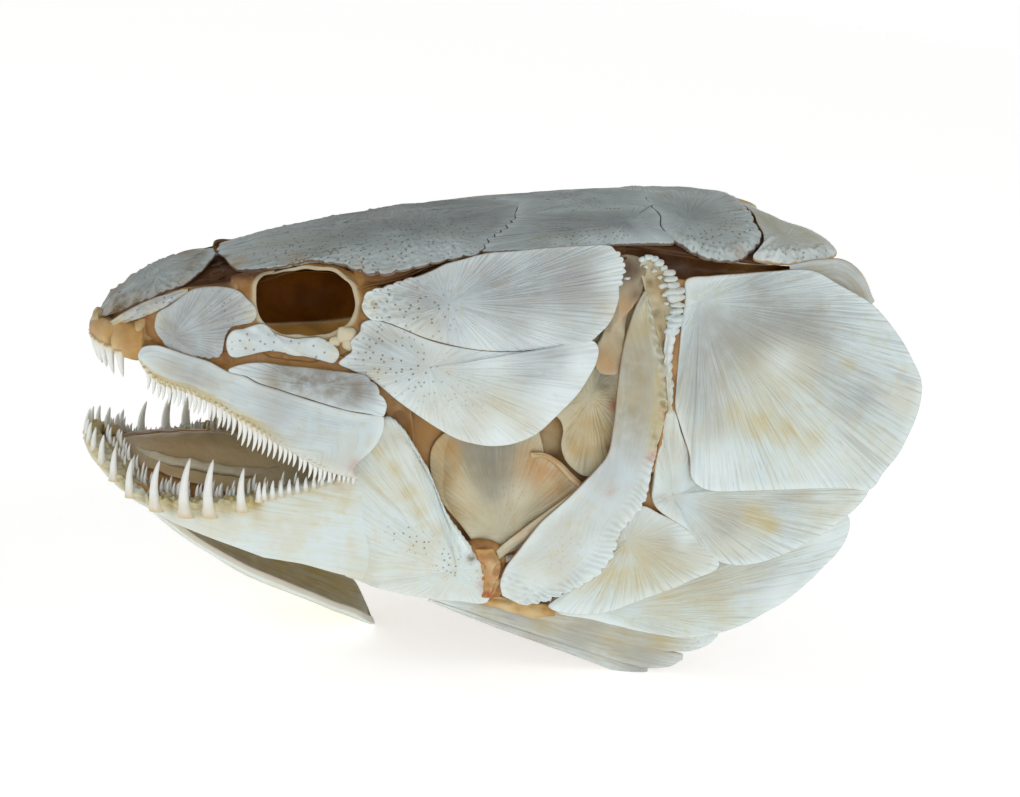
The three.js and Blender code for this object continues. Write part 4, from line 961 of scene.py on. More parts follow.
def dentary_teeth():
    """Curved fangs round the front and side of the jaw, fused to its outer face, small teeth behind them."""
    rng = np.random.default_rng(22)
    small = np.stack([np.linspace(89, 103.5, 11), np.linspace(2.8, 1.5, 11)], -1)
    s, height = np.concatenate([FANGS, small]).T
    height = height * rng.uniform(0.96, 1.04, len(s))
    sunk = 0.5 + 0.3 * height
    x, y = jaw(s, 1.05 + 0 * s)
    root = np.stack([x, y, JAW_RIM(s) - sunk], -1)
    lx, ly = jaw(s, 1.2 + 0.12 * height)
    tip = np.stack([lx + 0.1 * height * smooth((s - 40) / 20), ly, JAW_RIM(s) + height - 0.6], -1)
    lx, ly = jaw(s, 1.0 - 0.06 * height)
    bow = np.stack([lx - x - 0.07 * height * smooth((s - 30) / 20), ly - y, 0 * x], -1)
    return cones(root, tip, 0.32 + 0.095 * height, bow, 16, 16)


both("dentary_teeth", dentary_teeth(), enamel, replace=False)


def coronoid():
    """Inner shelf of the lower jaw that carries the small inner teeth."""
    s = np.linspace(6, 100, 160)[:, None]
    a = np.linspace(0, 2 * np.pi, 32, endpoint=False)[None]
    rim = JAW_RIM(s)
    end = np.sqrt(np.clip(np.minimum(s - 5, 101 - s) / 6, 0, 1))
    inward = 5.2 + 2.0 * end * np.cos(a)
    z = rim - 2.0 - 0.4 * np.cos(a) + 1.3 * end * np.sin(a)
    x, y = jaw(s, inward)
    rows = np.dstack([x, y, z])
    rows = rows + 0.2 * lumps(rows, 3, 43)[..., None] * [0, 0, 1]
    values = bare(np.dstack([z, inward, s + 0 * z]))
    return closed_rows(rows, values | painted(rows[..., [0, 1]], {"ochre": [(-60, -15, 30, 0.5)]}))


both("coronoid", coronoid(), deep_bone, replace=False)


def coronoid_teeth():
    """Two uneven rows of small pointed teeth on the inner shelf."""
    rng = np.random.default_rng(23)
    s = np.concatenate([np.linspace(10, 96, 34), np.linspace(12, 94, 30)]) + rng.uniform(-0.7, 0.7, 64)
    inward = np.concatenate([np.full(34, 4.4), np.full(30, 5.8)]) + rng.uniform(-0.2, 0.2, 64)
    height = rng.uniform(1.8, 3.2, 64)
    x, y = jaw(s, inward)
    root = np.stack([x, y, JAW_RIM(s) - 1.6], -1)
    return cones(root, root + np.stack([0.1 * height, 0.1 * height, height + 0.6], -1), 0.24 + 0.07 * height,
                 np.stack([-0.1 * height, 0 * x, 0 * x], -1), 8, 7)


both("coronoid_teeth", coronoid_teeth(), enamel, replace=False)


def crest(flat, share, short):
    """The angular's rear upper edge stands up as a crest with a groove along its foot."""
    upper = smooth((flat[..., 0] + 32) / 3) * smooth((flat[..., 1] + 23) / 4)
    return upper * (0.5 * bell(short, 1, 0.7) - 0.4 * bell(short, 3, 0.9))


def under_dentary(a, b, depth):
    """(x, z, depth) on the jaw's outer face, sinking in front of x = -31 to run in under the dentary."""
    return on_jaw(a, b, depth + (1.4 + 2.2 * smooth((-13 - b) / 8)) * smooth((-31.2 - a) / 4.6))


both("angular", plate([*JAW_SUTURE, (-34.2, 0.5), (-32, 4.5), *scallops([(-30.5, 6.3), (-28.5, 6.4),
        (-26.8, 5), (-24.3, 0.8), (-22, -3.6), (-20.8, -7), (-18.9, -11.8), (-15.9, -16.6), (-13.2, -20.3)],
        26, 0.2, 100), (-11.4, -24.2), (-11.4, -30), (-17, -29.4), (-25, -27.9), (-32, -25.6)], (-17, -23),
    under_dentary, 1.5, (400, 28), fibre=(1.22, 32, 0.07), rough=0.12, dome=0.3, seed=16, seam=0.6,
    relief=crest,
    tint={"ochre": [(-30.5, 0.5, 1.4, 0.6), (-28, -3, 1.3, 0.7), (-25.5, -7.5, 1.3, 0.7),
        (-23.5, -11.5, 1.2, 0.7), (-20.5, -15, 1.2, 0.6), (-17.5, -18.5, 1.2, 0.6), (-29, -22, 6, 0.3),
        (-20, -26, 5, 0.3), (-31, -6, 3, 0.3)], "brown": [(-14.4, -20.6, 0.9, 1.0)],
        "rust": [(-12, -26, 1.2, 0.5)],
        "pale": [(-25, 0, 2, 0.5), (-22, -6, 2, 0.5), (-19.5, -12, 2, 0.7), (-16, -17.5, 1.5, 0.9),
        (-28, -27, 6, 0.6)]},
    pits=[(-27, -15, 2.6, 1), (-23, -18, 2.6, 1), (-19, -21, 2.6, 1), (-15.5, -24, 2.4, 1)]), jaw_bone)

# ---------------------------------------------------------------- gill cover
CANAL = [(16.8, 32.1), (18.3, 32.4), (19.9, 31.3), (21.2, 29.6), (22, 27.7), (22.5, 25.6), (22.6, 23.6),
         (22.2, 21.6), (21.5, 19.6)]


def rear_band(flat, full):
    """Ochre: a band down the preopercle's rear edge, fading below z = -4, and a weak wash over its top."""
    z = flat[..., 1]
    band = smooth((0.3 - full) * 5) * smooth((z + 5) / 5) * smooth((20 - z) / 5)
    stains = spots(flat, [(14.5, 21, 3, 1), (12.5, 8, 2, 0.6), (-3, -22, 4, 0.8), (5, -14, 6, 0.6)])
    return 0.85 * band + 0.6 * smooth((z + 4) / 8) + 0.5 * stains


def canal_edge(flat, along, full):
    """Ragged rim along the blade's rear edge, a shallow hollow beside it, and a thick folded rim below."""
    z = flat[..., 1]
    high = smooth((z + 4) / 4)
    ragged = lumps(level(flat), 1.4, 101)
    folds = np.sin(2 * np.pi * (along * 58 + 0.5 * lumps(level(flat), 5, 105)))
    upper = high * (0.45 * ragged * smooth((0.22 - full) * 8) - 0.35 * bell(full, 0.3, 0.12))
    return upper + (1 - high) * (0.2 * folds * smooth((0.3 - full) * 5) + 0.35 * smooth((0.16 - full) * 8))


both("preopercle", strip([(17.1, 26.7), (17.5, 25.2), (18.2, 22.8), (19, 18.5), (20, 15), (20.6, 9),
        (19.9, 3), (18.6, -2), (17.9, -4.7), (16.8, -9.7), (14.5, -13.6), (11.9, -17.2), (10.3, -22),
        (7.6, -25.3), (4.6, -27.2), (1.5, -28.5), (-2.7, -30), (-6, -30)], [(16.8, 26.7), (15.3, 24.3),
        (13.4, 19.5), (12, 13.6), (10.9, 4.5), (9.6, -2.2), (7, -5.4), (2.3, -10.1), (-2.5, -14.3),
        (-6.1, -19.1), (-8.8, -22.9), (-9.6, -25.6), (-9.2, -28)], on_cheek(0.4), CHEEK_THICK, (450, 34),
    edge=0.42, bulge=0.55, calm=0.55, rough=0.12, seed=17,
    spongy=[(-7, -26, 3, 0.8), (-3, -28.5, 3, 0.8), (3, -27, 2.5, 0.5)], relief=canal_edge,
    ragged=(34, 0.8, 0.5),
    tint={"ochre": rear_band, "rust": [(10, -8.6, 1.2, 0.4), (17.6, -2.6, 1.1, 0.5), (19.5, 6, 0.9, 0.3)],
        "brown": [(15, 25.5, 0.9, 0.5), (14, 14, 5, 0.2), (13, 4, 5, 0.2)],
        "pale": [(-4, -26, 4, 0.6), (8, -21, 3, 0.5)],
        "grey": [(14, 20, 6, 0.9), (13.5, 12, 6, 0.9), (13, 4, 6, 0.8), (9, -5, 5, 0.4)]},
    pits=[(2, -20, 7, 0.3)]), cheek_bone)
both("preopercle_canal", plate([(16.4, 31), (17.4, 32.3), (19.4, 31.7), (21.6, 29.5), (22.9, 26),
        (22.9, 22.5), (22, 18.5), (21.2, 14), (20.6, 12.5), (19.6, 16), (18.6, 20), (17.8, 24), (16.9, 27.5)],
    (19.9, 25), on_cheek(-0.1), 1.4, (210, 12), dome=-0.5, rough=0.2, lump=2, seed=36,
    tint={"ochre": [(19, 27, 3, 0.8), (20, 20, 3, 0.8)],
        "brown": [(18.3, 28, 1.2, 0.7), (19, 22.5, 1.0, 0.8), (20, 17.5, 0.8, 0.6)]}), deep_bone,
    replace=False)


def canal_beads():
    """White grains of bone, broader than high, along the sensory canal's rear rim, a curl of smaller ones at
    its top and inside it, and the loose grain at the rear corner of the postorbital."""
    rim = through(CANAL[3:], 10, False)
    curl = through(CANAL[:4], 6, False)[:-1]
    inner = through([(17.4, 30.8), (18.9, 30), (20, 28.4), (20.5, 26.4), (20.7, 24.4)], 6, False)
    rng = np.random.default_rng(103)
    size = np.concatenate([np.full(10, 1.0), np.full(5, 0.75), np.full(6, 0.55),
        [0.5]]) * rng.uniform(0.75, 1.25, 22)
    centre = np.concatenate([rim, curl, inner, [(13.9, 29)]])
    wide = np.concatenate([np.full(10, 1.5), np.full(11, 1.1), [1.8]])
    return joined([bead(at(on_cheek(0.3), xz)[0], (r * w, r * 0.8, r * 0.72), k)
                   for k, (xz, r, w) in enumerate(zip(centre, size, wide))])


both("canal_beads", canal_beads(), cheek_bone, replace=False)
both("canal_rim", strip([(23.1, 21.6), (22.2, 19.5), (21.7, 17.2), (21.3, 15), (21.3, 12.5), (21.3, 10),
        (21.3, 7.5), (20.9, 5)], [(21, 22), (20.4, 19.8), (20, 17.3), (19.8, 15), (20, 12.5), (20.2, 10),
        (20.3, 7.5), (20.2, 5)], on_cheek(0.5), 1.2, (210, 9), edge=0.4, bulge=0.4, rough=0.22, lump=1.8,
    seed=42, ragged=(11, 0.35, 0.0), tint={"ochre": [(20, 12, 3, 0.3), (20.3, 6, 3, 0.6)]}), cheek_bone,
    replace=False)
both("opercle", plate([(24.2, 25), (24.6, 28.2), (29.5, 28.7), (35.3, 28.8), (41.8, 28.9), (47, 28.9),
        (49.8, 28.2), (53.5, 26), (60.1, 22), (64.4, 17.3), (68, 12), (70.5, 6.6), (70.4, 3), (69, -1),
        (66.6, -5.8), (63.3, -9.6), (60.8, -12.8), (55.5, -12.1), (47.3, -11.5), (40.6, -11.2), (33.9, -10.8),
        (29.3, -10.4), (26.7, -9.2), (25.2, -7.3), (24.8, -3.4), (23.2, 1.8), (22, 6), (22.2, 9.3),
        (22.8, 15.4), (23.5, 21.3)], (26.6, 24.4), on_cheek(0), GILL_THICK, (800, 29), fibre=(1.09, 32, 0.05),
    rough=0.12, dome=0.4, seed=18,
    relief=lambda flat, share, short: 0.035 * np.sin(2 * np.pi * short / 2.1) * np.exp(-short / 7),
    tint={"grey": [(30, 14, 6, 0.5), (27.5, 18, 5, 0.5), (41, 21.5, 7, 0.8), (49.6, 19, 6, 0.6),
        (33, 17, 5, 0.6), (57, 6, 5, 0.6), (52, 10, 4, 0.4), (26, 9, 4, 0.5), (29, 3, 4, 0.4),
        (28, 21, 4, 0.5), (37, 26, 5, 0.4)],
        "ochre": [(34, 12, 6, 0.3), (46, 8, 7, 0.2), (38, 1.6, 2.6, 0.8), (43, 0.2, 2.6, 0.9),
        (48, -2.2, 2.6, 0.8), (55, 11.5, 1.6, 0.6), (33, 4.5, 2.5, 0.5)],
        "pale": [(42, 13, 3, 0.5), (30, -6, 4, 0.6), (50, -8, 6, 0.5)]}), gill_bone)
both("subopercle", plate([(19.4, 1), (20.3, 6.2), (21.9, 5.4), (23.3, 1.4), (24.8, -2.4), (25.5, -6.2),
        (27.9, -8.3), (34, -8.6), (43, -9), (52.5, -9.4), (61.3, -11.4), (60.5, -15), (51, -22.3),
        (40.5, -26.3), (32.5, -25.5), (25.6, -18.3), (18.9, -12.7), (18.4, -6)], (22, -10.8), on_cheek(-1.4),
    GILL_THICK, (500, 22), fibre=(1.16, 28, 0.06), rough=0.12, seed=19,
    relief=lambda flat, share, short: smooth((27 - flat[..., 0]) / 4) * smooth((flat[..., 1] + 12) / 4),
    tint={"ochre": [(38.5, -16, 2.6, 0.8), (41.5, -19, 2, 0.7), (30, -12, 5, 0.3), (48, -13, 3, 0.3)],
        "grey": [(32, -16, 5, 0.5), (24, -12, 4, 0.4), (44, -14, 5, 0.4)], "brown": [(20, -12, 1.2, 0.5)]}),
    gill_bone)
both("interopercle", plate([(13, -16.5), (16.7, -12.9), (20.1, -14.5), (25.7, -18.2), (32.3, -26.2),
        (26.5, -28.9), (17.5, -32.2), (9.9, -34.3), (3.6, -33.9), (0, -32), (5, -28.5), (9, -24)],
    (14.5, -19), on_cheek(-1.5), GILL_THICK, (340, 17), fibre=(1.16, 28, 0.07), rough=0.12, seed=20,
    tint={"ochre": [(14, -21, 5, 0.8), (12, -26, 5, 0.7), (20, -25, 6, 0.5)],
        "pale": [(25, -20, 2, 0.6), (6, -33, 2, 0.6)], "grey": [(20, -22, 6, 0.4)]}), gill_bone)
both("branchiostegal_upper", plate([(3, -31.5), (10, -30), (20, -29), (28, -26.5), (36, -24.5), (45, -21.5),
        (55, -18), (58.5, -19.5), (58, -25), (53, -31), (48, -35.5), (38, -41), (28.5, -42.2), (18.5, -39.8),
        (8.5, -36.3), (2, -34)], (11, -34), on_cheek(-3.3), GILL_THICK, (500, 20), fibre=(1.22, 32, 0.06),
    rough=0.14, seed=21,
    tint={"ochre": [(22, -33, 5, 0.5), (32, -33, 5, 0.35), (38, -28, 5, 0.3), (28, -38, 4, 0.3)],
        "grey": [(30, -29, 6, 0.4), (42, -29, 6, 0.3)], "pale": [(54, -22, 4, 0.8), (46, -35, 4, 0.7)]}),
    gill_bone)
# The lowest solid ray and the two added below it: upper edge, lower edge, offset.
RAYS = [
    ([(-20.5, -28), (-13, -28.6), (-5, -30.4), (1.8, -32.4), (8.4, -34.4), (18.4, -37.6), (28.3, -40.2),
      (34.5, -41.3)],
     [(-20.8, -29), (-13, -31), (-5, -34), (2, -37), (9, -40), (18.5, -43.5), (26, -45.6), (32, -45.2),
      (34.3, -43)],
     -3.9),
    ([(-20.8, -28.8), (-13, -30.7), (-5, -33.6), (2, -36.6), (9, -39.6), (18.5, -43), (24, -45.2),
      (28, -46.4)],
     [(-21, -30), (-14.5, -33), (-6.5, -36.8), (2, -40.8), (9, -44), (15, -46.8), (22, -49.2), (26, -49.2),
      (28, -47.8)],
     -4.4),
    ([(-21, -29.8), (-14.5, -32.5), (-6.5, -36.3), (2, -40.2), (9, -43.4), (15, -46.2), (19, -48.2),
      (21.5, -49.4)],
     [(-21.5, -30.5), (-16, -33.5), (-8.5, -37.5), (1.5, -42.5), (9, -46.3), (14, -49), (17, -50.8),
      (20, -51), (21.4, -50.2)],
     -4.9)]
for number, (upper, lower, offset) in enumerate(RAYS):
    ray = strip(upper, lower, on_cheek(offset), GILL_THICK, (220, 13), edge=0.35, bulge=0.25, rough=0.12,
        fibre=(1.36, 42, 0.07), seed=22 + number,
        tint={"ochre": [(2, -35, 5, 0.5), (14, -41, 5, 0.5), (-10, -32, 4, 0.4), (24, -42, 4, 0.5)],
            "grey": [(-8, -33, 8, 0.7), (6, -38, 9, 0.8), (20, -44, 9, 0.8)]})
    name = f"branchiostegal_ray_{number}" if number else "branchiostegal_lower"
    both(name, ray, gill_bone, replace=number == 0)
both("supracleithrum", strip([(45, 29.3), (51, 30), (56, 29.6), (59.4, 27), (61.6, 22)], [(46, 25), (49, 24),
        (51, 22), (53, 20), (56, 17.5)], on_cheek(-2.2), GILL_THICK, (80, 9), seed=23,
    tint={"grey": [(55, 25, 8, 0.9)], "ochre": [(50, 26, 3, 0.6), (58, 24, 4, 0.4)],
        "brown": [(54, 25, 6, 0.12)]}), gill_bone)

# ---------------------------------------------------------------- bones in the cheek window
# The dark grey spots over the two hollows are painted shade in the holes.
both("hyomandibula", plate([(19, 29.5), (9, 30.5), (2, 25), (-3, 16), (-6, 10), (-4, 6), (1.5, 4.2),
        (2.6, 1.8), (2.1, -1.2), (3.3, -4.4), (7, -7.2), (10, -5.5), (12, 0), (14.5, 9), (17, 19)], (7.5, 8),
    on_cheek(-2.9), 2.2, (290, 17), fibre=(1.22, 24, 0.1), rough=0.25, dome=0.5, seed=24,
    tint={"ochre": [(6, 5, 2.5, 0.6), (9, 2, 2.5, 0.5), (5, -2, 2, 0.5), (11, 9, 2, 0.6)],
        "rust": [(12, 6, 1.4, 0.7), (11.5, -2, 1.4, 0.8), (9, 14, 1.2, 0.6)],
        "grey": [(9.6, 11, 1.4, 1.6), (11, 10.4, 1.2, 1.2)]},
    relief=lambda flat, share, short: -0.7 * smooth(spots(flat, [(9.6, 11, 1.5, 1.4), (11, 10.4, 1.2, 1)]))),
    deep_bone)


def quadrate_slope(flat, share, short):
    """Hollow in the middle of the quadrate, which falls away in front of x = -14.5."""
    return -0.4 * spots(flat, [(-10.5, -5, 5, 1)]) - 1.6 * smooth((-14.5 - flat[..., 0]) / 6)


both("quadrate", plate([(-10.5, -21.8), (-16, -15), (-20.5, -8), (-20.8, 0), (-15, 4.3), (-6, 4.9),
        (-2.5, 3.5), (-1.2, 0), (-0.6, -2.4), (2.1, -4.2), (3.9, -6.4), (5.9, -8.6), (2.5, -13), (-4, -19.5)],
    (-8.6, -17), on_cheek(-3), 2.4, (320, 20), fibre=(1.5, 32, 0.06), rough=0.2, dome=0.2, seed=25,
    relief=quadrate_slope,
    tint={"grey": [(-10.5, -7, 3.6, 1.4), (-11, -3, 3.6, 1.4), (-13, 0.5, 3.4, 1.2), (-8.5, -1, 3.4, 1.0),
        (-5, -11, 5, 0.5)],
        "ochre": [(-3, -4, 3.5, 1.0), (1.5, -7, 3.5, 1.0), (-18, -6, 3.4, 1.0), (-16, -12, 3.4, 0.9),
        (-19, 0, 3, 1.0)], "rust": [(-3, -5, 3, 0.3), (1, -8, 3, 0.25), (-18, 0, 2, 0.2)],
        "brown": [(-11, -5, 4.5, 0.2), (-19.5, -5, 2.5, 0.3)],
        "pale": [(-5.5, -10, 3.5, 0.7), (-15, -9, 3, 0.5)]}, pits=[(-6, -8, 6, 0.3)]), deep_bone)
both("quadrate_ridge", strip([(-3.6, -1.6), (-1, -1.9), (1.8, -3.6), (4, -6), (6.6, -8.6)], [(-3.4, -2.7),
        (-1, -3), (1.4, -4.9), (3.3, -7.1), (5.8, -9.6)], on_cheek(-2.1), 1.6, (80, 8), bulge=0.2, rough=0.12,
    lump=2, seed=37, tint={"ochre": [(0, -4, 9, 1.0)], "rust": [(1, -4, 3, 0.3), (5, -8, 2, 0.4)]}),
    deep_bone, replace=False)
both("quadrate_limb", strip([(-10, -19.6), (-6.7, -16.9), (-0.6, -12.5), (4.8, -8.6)], [(-9.5, -21.6),
        (-6, -19), (0.4, -14.4), (6, -9.8)], on_cheek(-1.2), 1.6, (80, 8), bulge=0.2, rough=0.12, lump=3,
    seed=38, tint={"rust": [(-4, -16, 4, 0.3)], "pale": [(0, -12, 5, 0.6)]}), deep_bone, replace=False)
both("jaw_joint", strip([(-13.9, -18.9), (-13.2, -21.5), (-12.5, -24), (-12.3, -26.4), (-12.6, -28.6)],
    [(-10.6, -19), (-9.2, -21.8), (-9, -24.6), (-9.7, -27), (-10.8, -28.9)], on_cheek(-0.7), 2.4, (100, 11),
    edge=0.8, bulge=0.8, rough=0.5, lump=1.7, seed=104,
    tint={"rust": [(-12, -21.5, 2, 0.5), (-10.6, -24.5, 2, 0.5), (-11.5, -28, 1.2, 1.0)],
        "pale": [(-11, -22, 1.6, 0.7), (-10.4, -25.5, 1.2, 0.5)]}), gum_tissue, replace=False)
both("joint_fringe", strip([(-13, -28.8), (-9.5, -29.2), (-5.5, -30.3), (-2, -31.4), (1.5, -32)],
    [(-12.6, -30.6), (-9, -31.9), (-5.5, -33.4), (-2, -34.6), (1.5, -34.4)], on_cheek(-1.9), 1.8, (110, 9),
    edge=0.6, bulge=0.4, rough=0.3, lump=2.4, seed=110,
    tint={"pale": [(-8, -31, 2, 0.6), (-3, -33, 2, 0.6)]}), gum_tissue, replace=False)


def pterygoid():
    """Arched wing of the palate: rows run from its outer edge up to the base of the skull."""
    outer = through([(-66, -9.5, 15.5), (-58, -14.5, 12.5), (-48, -18, 8), (-38, -19, 2.5), (-29, -20, -3),
                     (-21.5, -20.5, -9)], 90, False)
    inner = through([(-65, -4.5, 15.8), (-58, -5.5, 14.5), (-48, -5.5, 13.2), (-37, -6, 12.2),
        (-26, -8, 11.2), (-14, -12, 9.2)], 90, False)
    v = np.linspace(0, 1, 24)
    arch = 4 * v * (1 - v)
    top = outer[:, None] + (inner - outer)[:, None] * v[:, None] + arch[:, None] * np.array([0, -1.5, 2.0])
    top = top + 0.2 * lumps(top, 6, 51)[..., None] * [0, 0, 1]
    rows = np.concatenate([top, top[:, ::-1] + [0, 0.9, -1.5]], 1)
    x, y, z = np.moveaxis(rows, -1, 0)
    # The brown on the palate's wing is partly its colour, partly painted shade inside the mouth.
    return closed_rows(rows, bare(np.dstack([y + z, 0 * x, x])) | painted(rows[..., [0, 2]],
        {"brown": [(-45, 6, 14, 0.5)]}))


both("pterygoid", pterygoid(), deep_bone)

# ---------------------------------------------------------------- bones of the midline
# The brown patches on the braincase are painted shade of the head's deep inside, seen through the gaps
# between the bones.
put("braincase_bone", loft([(-71, 4, 18.5, 22.5), (-66, 6.5, 18, 25), (-58, 8, 17.3, 27.4),
        (-50, 6, 16.5, 28.7), (-42, 4, 16, 30.5), (-28, 5, 15.3, 32.3), (-14, 9, 13.8, 33), (0, 13, 11, 33.2),
        (16, 15, 9, 33.2), (30, 13, 9, 33), (42, 8, 12, 32)], (120, 48), rough=0.35, size=8, seed=61,
    tint={"brown": [(-45, 24, 14, 0.8), (20, 30, 12, 0.5)]}), deep_bone, "braincase")
put("parasphenoid_bone", loft([(-68, 2.5, 15.3, 17.6), (-58, 4.6, 13.6, 16.6), (-48, 4.4, 12.8, 15.7),
        (-36, 4.6, 12, 14.8), (-20, 5.5, 10.4, 13.4), (-4, 6, 7.6, 10.6), (14, 5, 5.6, 8.4),
        (30, 3.5, 5.8, 8.4)], (140, 40), rough=0.15, size=6, seed=62), deep_bone, "parasphenoid")
put("rostral_bone", loft([(-77.5, 2.2, 18.8, 21), (-77, 3.6, 19.2, 22.4), (-76.2, 4.6, 20, 23.2),
        (-74.6, 5.4, 21, 23.6)], (60, 48), rough=0.2, size=2.5, seed=63,
    tint={"ochre": [(-76, 21, 4, 0.9)], "brown": [(-76.5, 22.4, 1.2, 0.5)], "pale": [(-77, 20, 1.2, 0.7)]}),
    deep_bone, "rostral")


def gular():
    """Long shallow trough hung below the chin: its low line and half width follow x, and it rises with the
    square of the way across."""
    low = run([(-75.5, -8), (-69, -15.8), (-60.5, -23.8), (-52, -29.9), (-42.5, -35.3), (-35, -39.4),
        (-28, -43.6)])
    half = run([(-75.5, 2), (-71, 6), (-66, 8.5), (-59, 11.5), (-48, 13.5), (-38, 13), (-32, 11), (-29.5, 8),
        (-28, 3)])
    x = np.linspace(-75.5, -28.1, 160)[:, None]
    v = np.linspace(-1, 1, 60)
    back = v[::-2]
    close = np.sqrt(np.clip(np.minimum(x + 75.6, -28 - x) / 1.5, 0.05, 1))
    across = np.concatenate([v, 1 + 0.03 * np.sin(ROUND), back, -1 - 0.03 * np.sin(ROUND)])[None]
    deep = np.concatenate([0 * v, -0.5 + 0.5 * np.cos(ROUND), 0 * back - 1, -0.5 - 0.5 * np.cos(ROUND)])[None]
    y = across * half(x)
    z = low(x) + 4.7 * across ** 2 * half(x) / 13.5 - 1.2 * deep * close
    rim = smooth((np.abs(across) - 0.8) * 8) * 0.35 * close
    rows = np.dstack([x + 0 * y, y, z - rim * (deep > -0.5)])
    rows = rows + 0.1 * lumps(rows, 8, 71)[..., None] * [0, 0, 1]
    values = bare(np.dstack([y, 0 * y, x + 0 * y]), margin=(1.03 - np.abs(across)) * half(x))
    # The ochre and brown inside the trough are partly stain, partly painted shade under the jaw.
    inside = {"ochre": [(-42, 3, 10, 0.8), (-34, 3, 8, 0.8), (-54, 2, 12, 0.6)],
              "brown": [(-40, -2, 10, 0.3), (-54, 0, 8, 0.2)]}
    return closed_rows(rows, values | painted(rows[..., :2], inside))


put("gular_plate_bone", gular(), gill_bone, "gular_plate")

# ---------------------------------------------------------------- dried tissue between the bones
def ribbon(edge_a, edge_b, sag, thick, n=(160, 16), rough=0.2, seed=1, tint=None):
    """Sheet of tissue stretched between two curves in space: it sags by 4 v (1 - v) times `sag` on its way
    across, and its back lies `thick` further along the sag."""
    a, b = through(edge_a, n[0], False), through(edge_b, n[0], False)
    v = np.linspace(0, 1, n[1])
    sag = np.array(sag, float)
    away = sag / np.linalg.norm(sag)
    top = a[:, None] + (b - a)[:, None] * v[:, None] + (4 * v * (1 - v))[:, None] * sag
    top = top + rough * lumps(top, 3.5, seed)[..., None] * away
    rows = np.concatenate([top, top[:, ::-1] + away * thick], 1)
    return closed_rows(rows, painted(rows[..., [0, 2]], tint))


both("roof_tissue", plate([(-72, 0.2), (-72, 6), (-69, 10), (-64, 12.5), (-59, 14.5), (-53, 15.5), (-50, 13),
        (-47, 11.5), (-40, 13), (-34, 17.5), (-26, 21), (-10, 21.8), (8, 22.4), (24, 23.8), (33, 24.8),
        (41, 25.4), (50, 24), (55.5, 20), (55, 15.8), (50, 13.4), (45.4, 10), (43, 7), (42.6, 0.2)], (-5, 10),
    under_roof(0.8), 1.2, (270, 18), rough=0.15, lump=4, seed=26, dome=0.1,
    tint={"brown": [(-56, 5, 5, 0.6)]},
    relief=lambda flat, share, short: -1.2 * bell(flat[..., 0], -54.8, 2.2)), dark_tissue, replace=False)
both("cheek_wall", plate([(-25, 16), (-24, 28), (-12, 31), (4, 32), (16, 31.5), (26, 24), (30, 12), (26, -5),
        (17, -13), (6, -20), (-7, -23), (-17, -17.5), (-25, -8), (-30, -1), (-30, 9)], (0, 5), on_cheek(-6.1),
    1.0, (250, 18), rough=0.3, seed=27,
    relief=lambda flat, share, short: 1.5 * smooth((-12 - flat[..., 0]) / 6),
    tint={"brown": [(-13, -17, 4, 0.5), (-25, 4, 4, 0.35), (-20, -10, 4, 0.45), (-26, 11, 4, 0.5)],
        "pale": [(0, -1, 4, 0.9), (6, -7, 3, 0.6), (9, 11, 3, 0.8)],
        "ochre": [(-23, 2, 7, 0.9), (-20, -6, 5, 0.8)]}), amber_tissue)
both("joint_tissue", plate([(-15.5, -18.5), (-13, -17.5), (-9, -19), (-7.8, -23), (-8.6, -29), (-12, -30.3),
        (-13.6, -25), (-14.5, -21.5)], (-11.3, -23), on_cheek(-1.6), 3.0, (80, 8), rough=0.3, lump=2, seed=28,
    edge=1.0, dome=0.6, tint={"rust": [(-11.5, -28, 2, 0.7)]}), amber_tissue, replace=False)
both("throat_membrane", plate([(-14, -27), (-9, -24), (-2, -20), (8, -14), (17, -6), (20, 4), (24, 8),
        (27, 0), (30, -8), (34, -16), (34, -26), (26, -30.5), (10, -32.5), (0, -31.5), (-8, -30)], (14, -18),
    on_cheek(-3.1), 0.7, (210, 14), rough=0.15, lump=3, seed=33), amber_tissue, replace=False)
both("snout_tissue", plate([(-75.4, 18.6), (-75.2, 20.2), (-73.2, 22.4), (-70, 24.8), (-66, 27), (-62, 28.6),
        (-58, 29.2), (-53.6, 29.8), (-51, 29.8), (-50.6, 27), (-50.9, 24), (-53, 19), (-55, 15.5),
        (-62, 15.5), (-68, 17)], (-62, 23), on_cheek(-0.5), 2.5, (210, 16), rough=0.25, lump=2.5, seed=29,
    dome=0.4,
    tint={"brown": [(-57.5, 30.6, 2.2, 1.0), (-60, 30.5, 1.8, 0.8), (-55, 31.5, 2.2, 0.8),
        (-54.5, 29.8, 1.5, 0.5)], "pale": [(-52, 28.8, 1.2, 0.5)]}), amber_tissue, replace=False)


def nostril_rim(flat, share, short):
    """Rolled rim two thirds of the way out, and a pit inside it."""
    return 0.35 * bell(share, 0.68, 0.13) - 0.8 * smooth((0.6 - share) / 0.2)


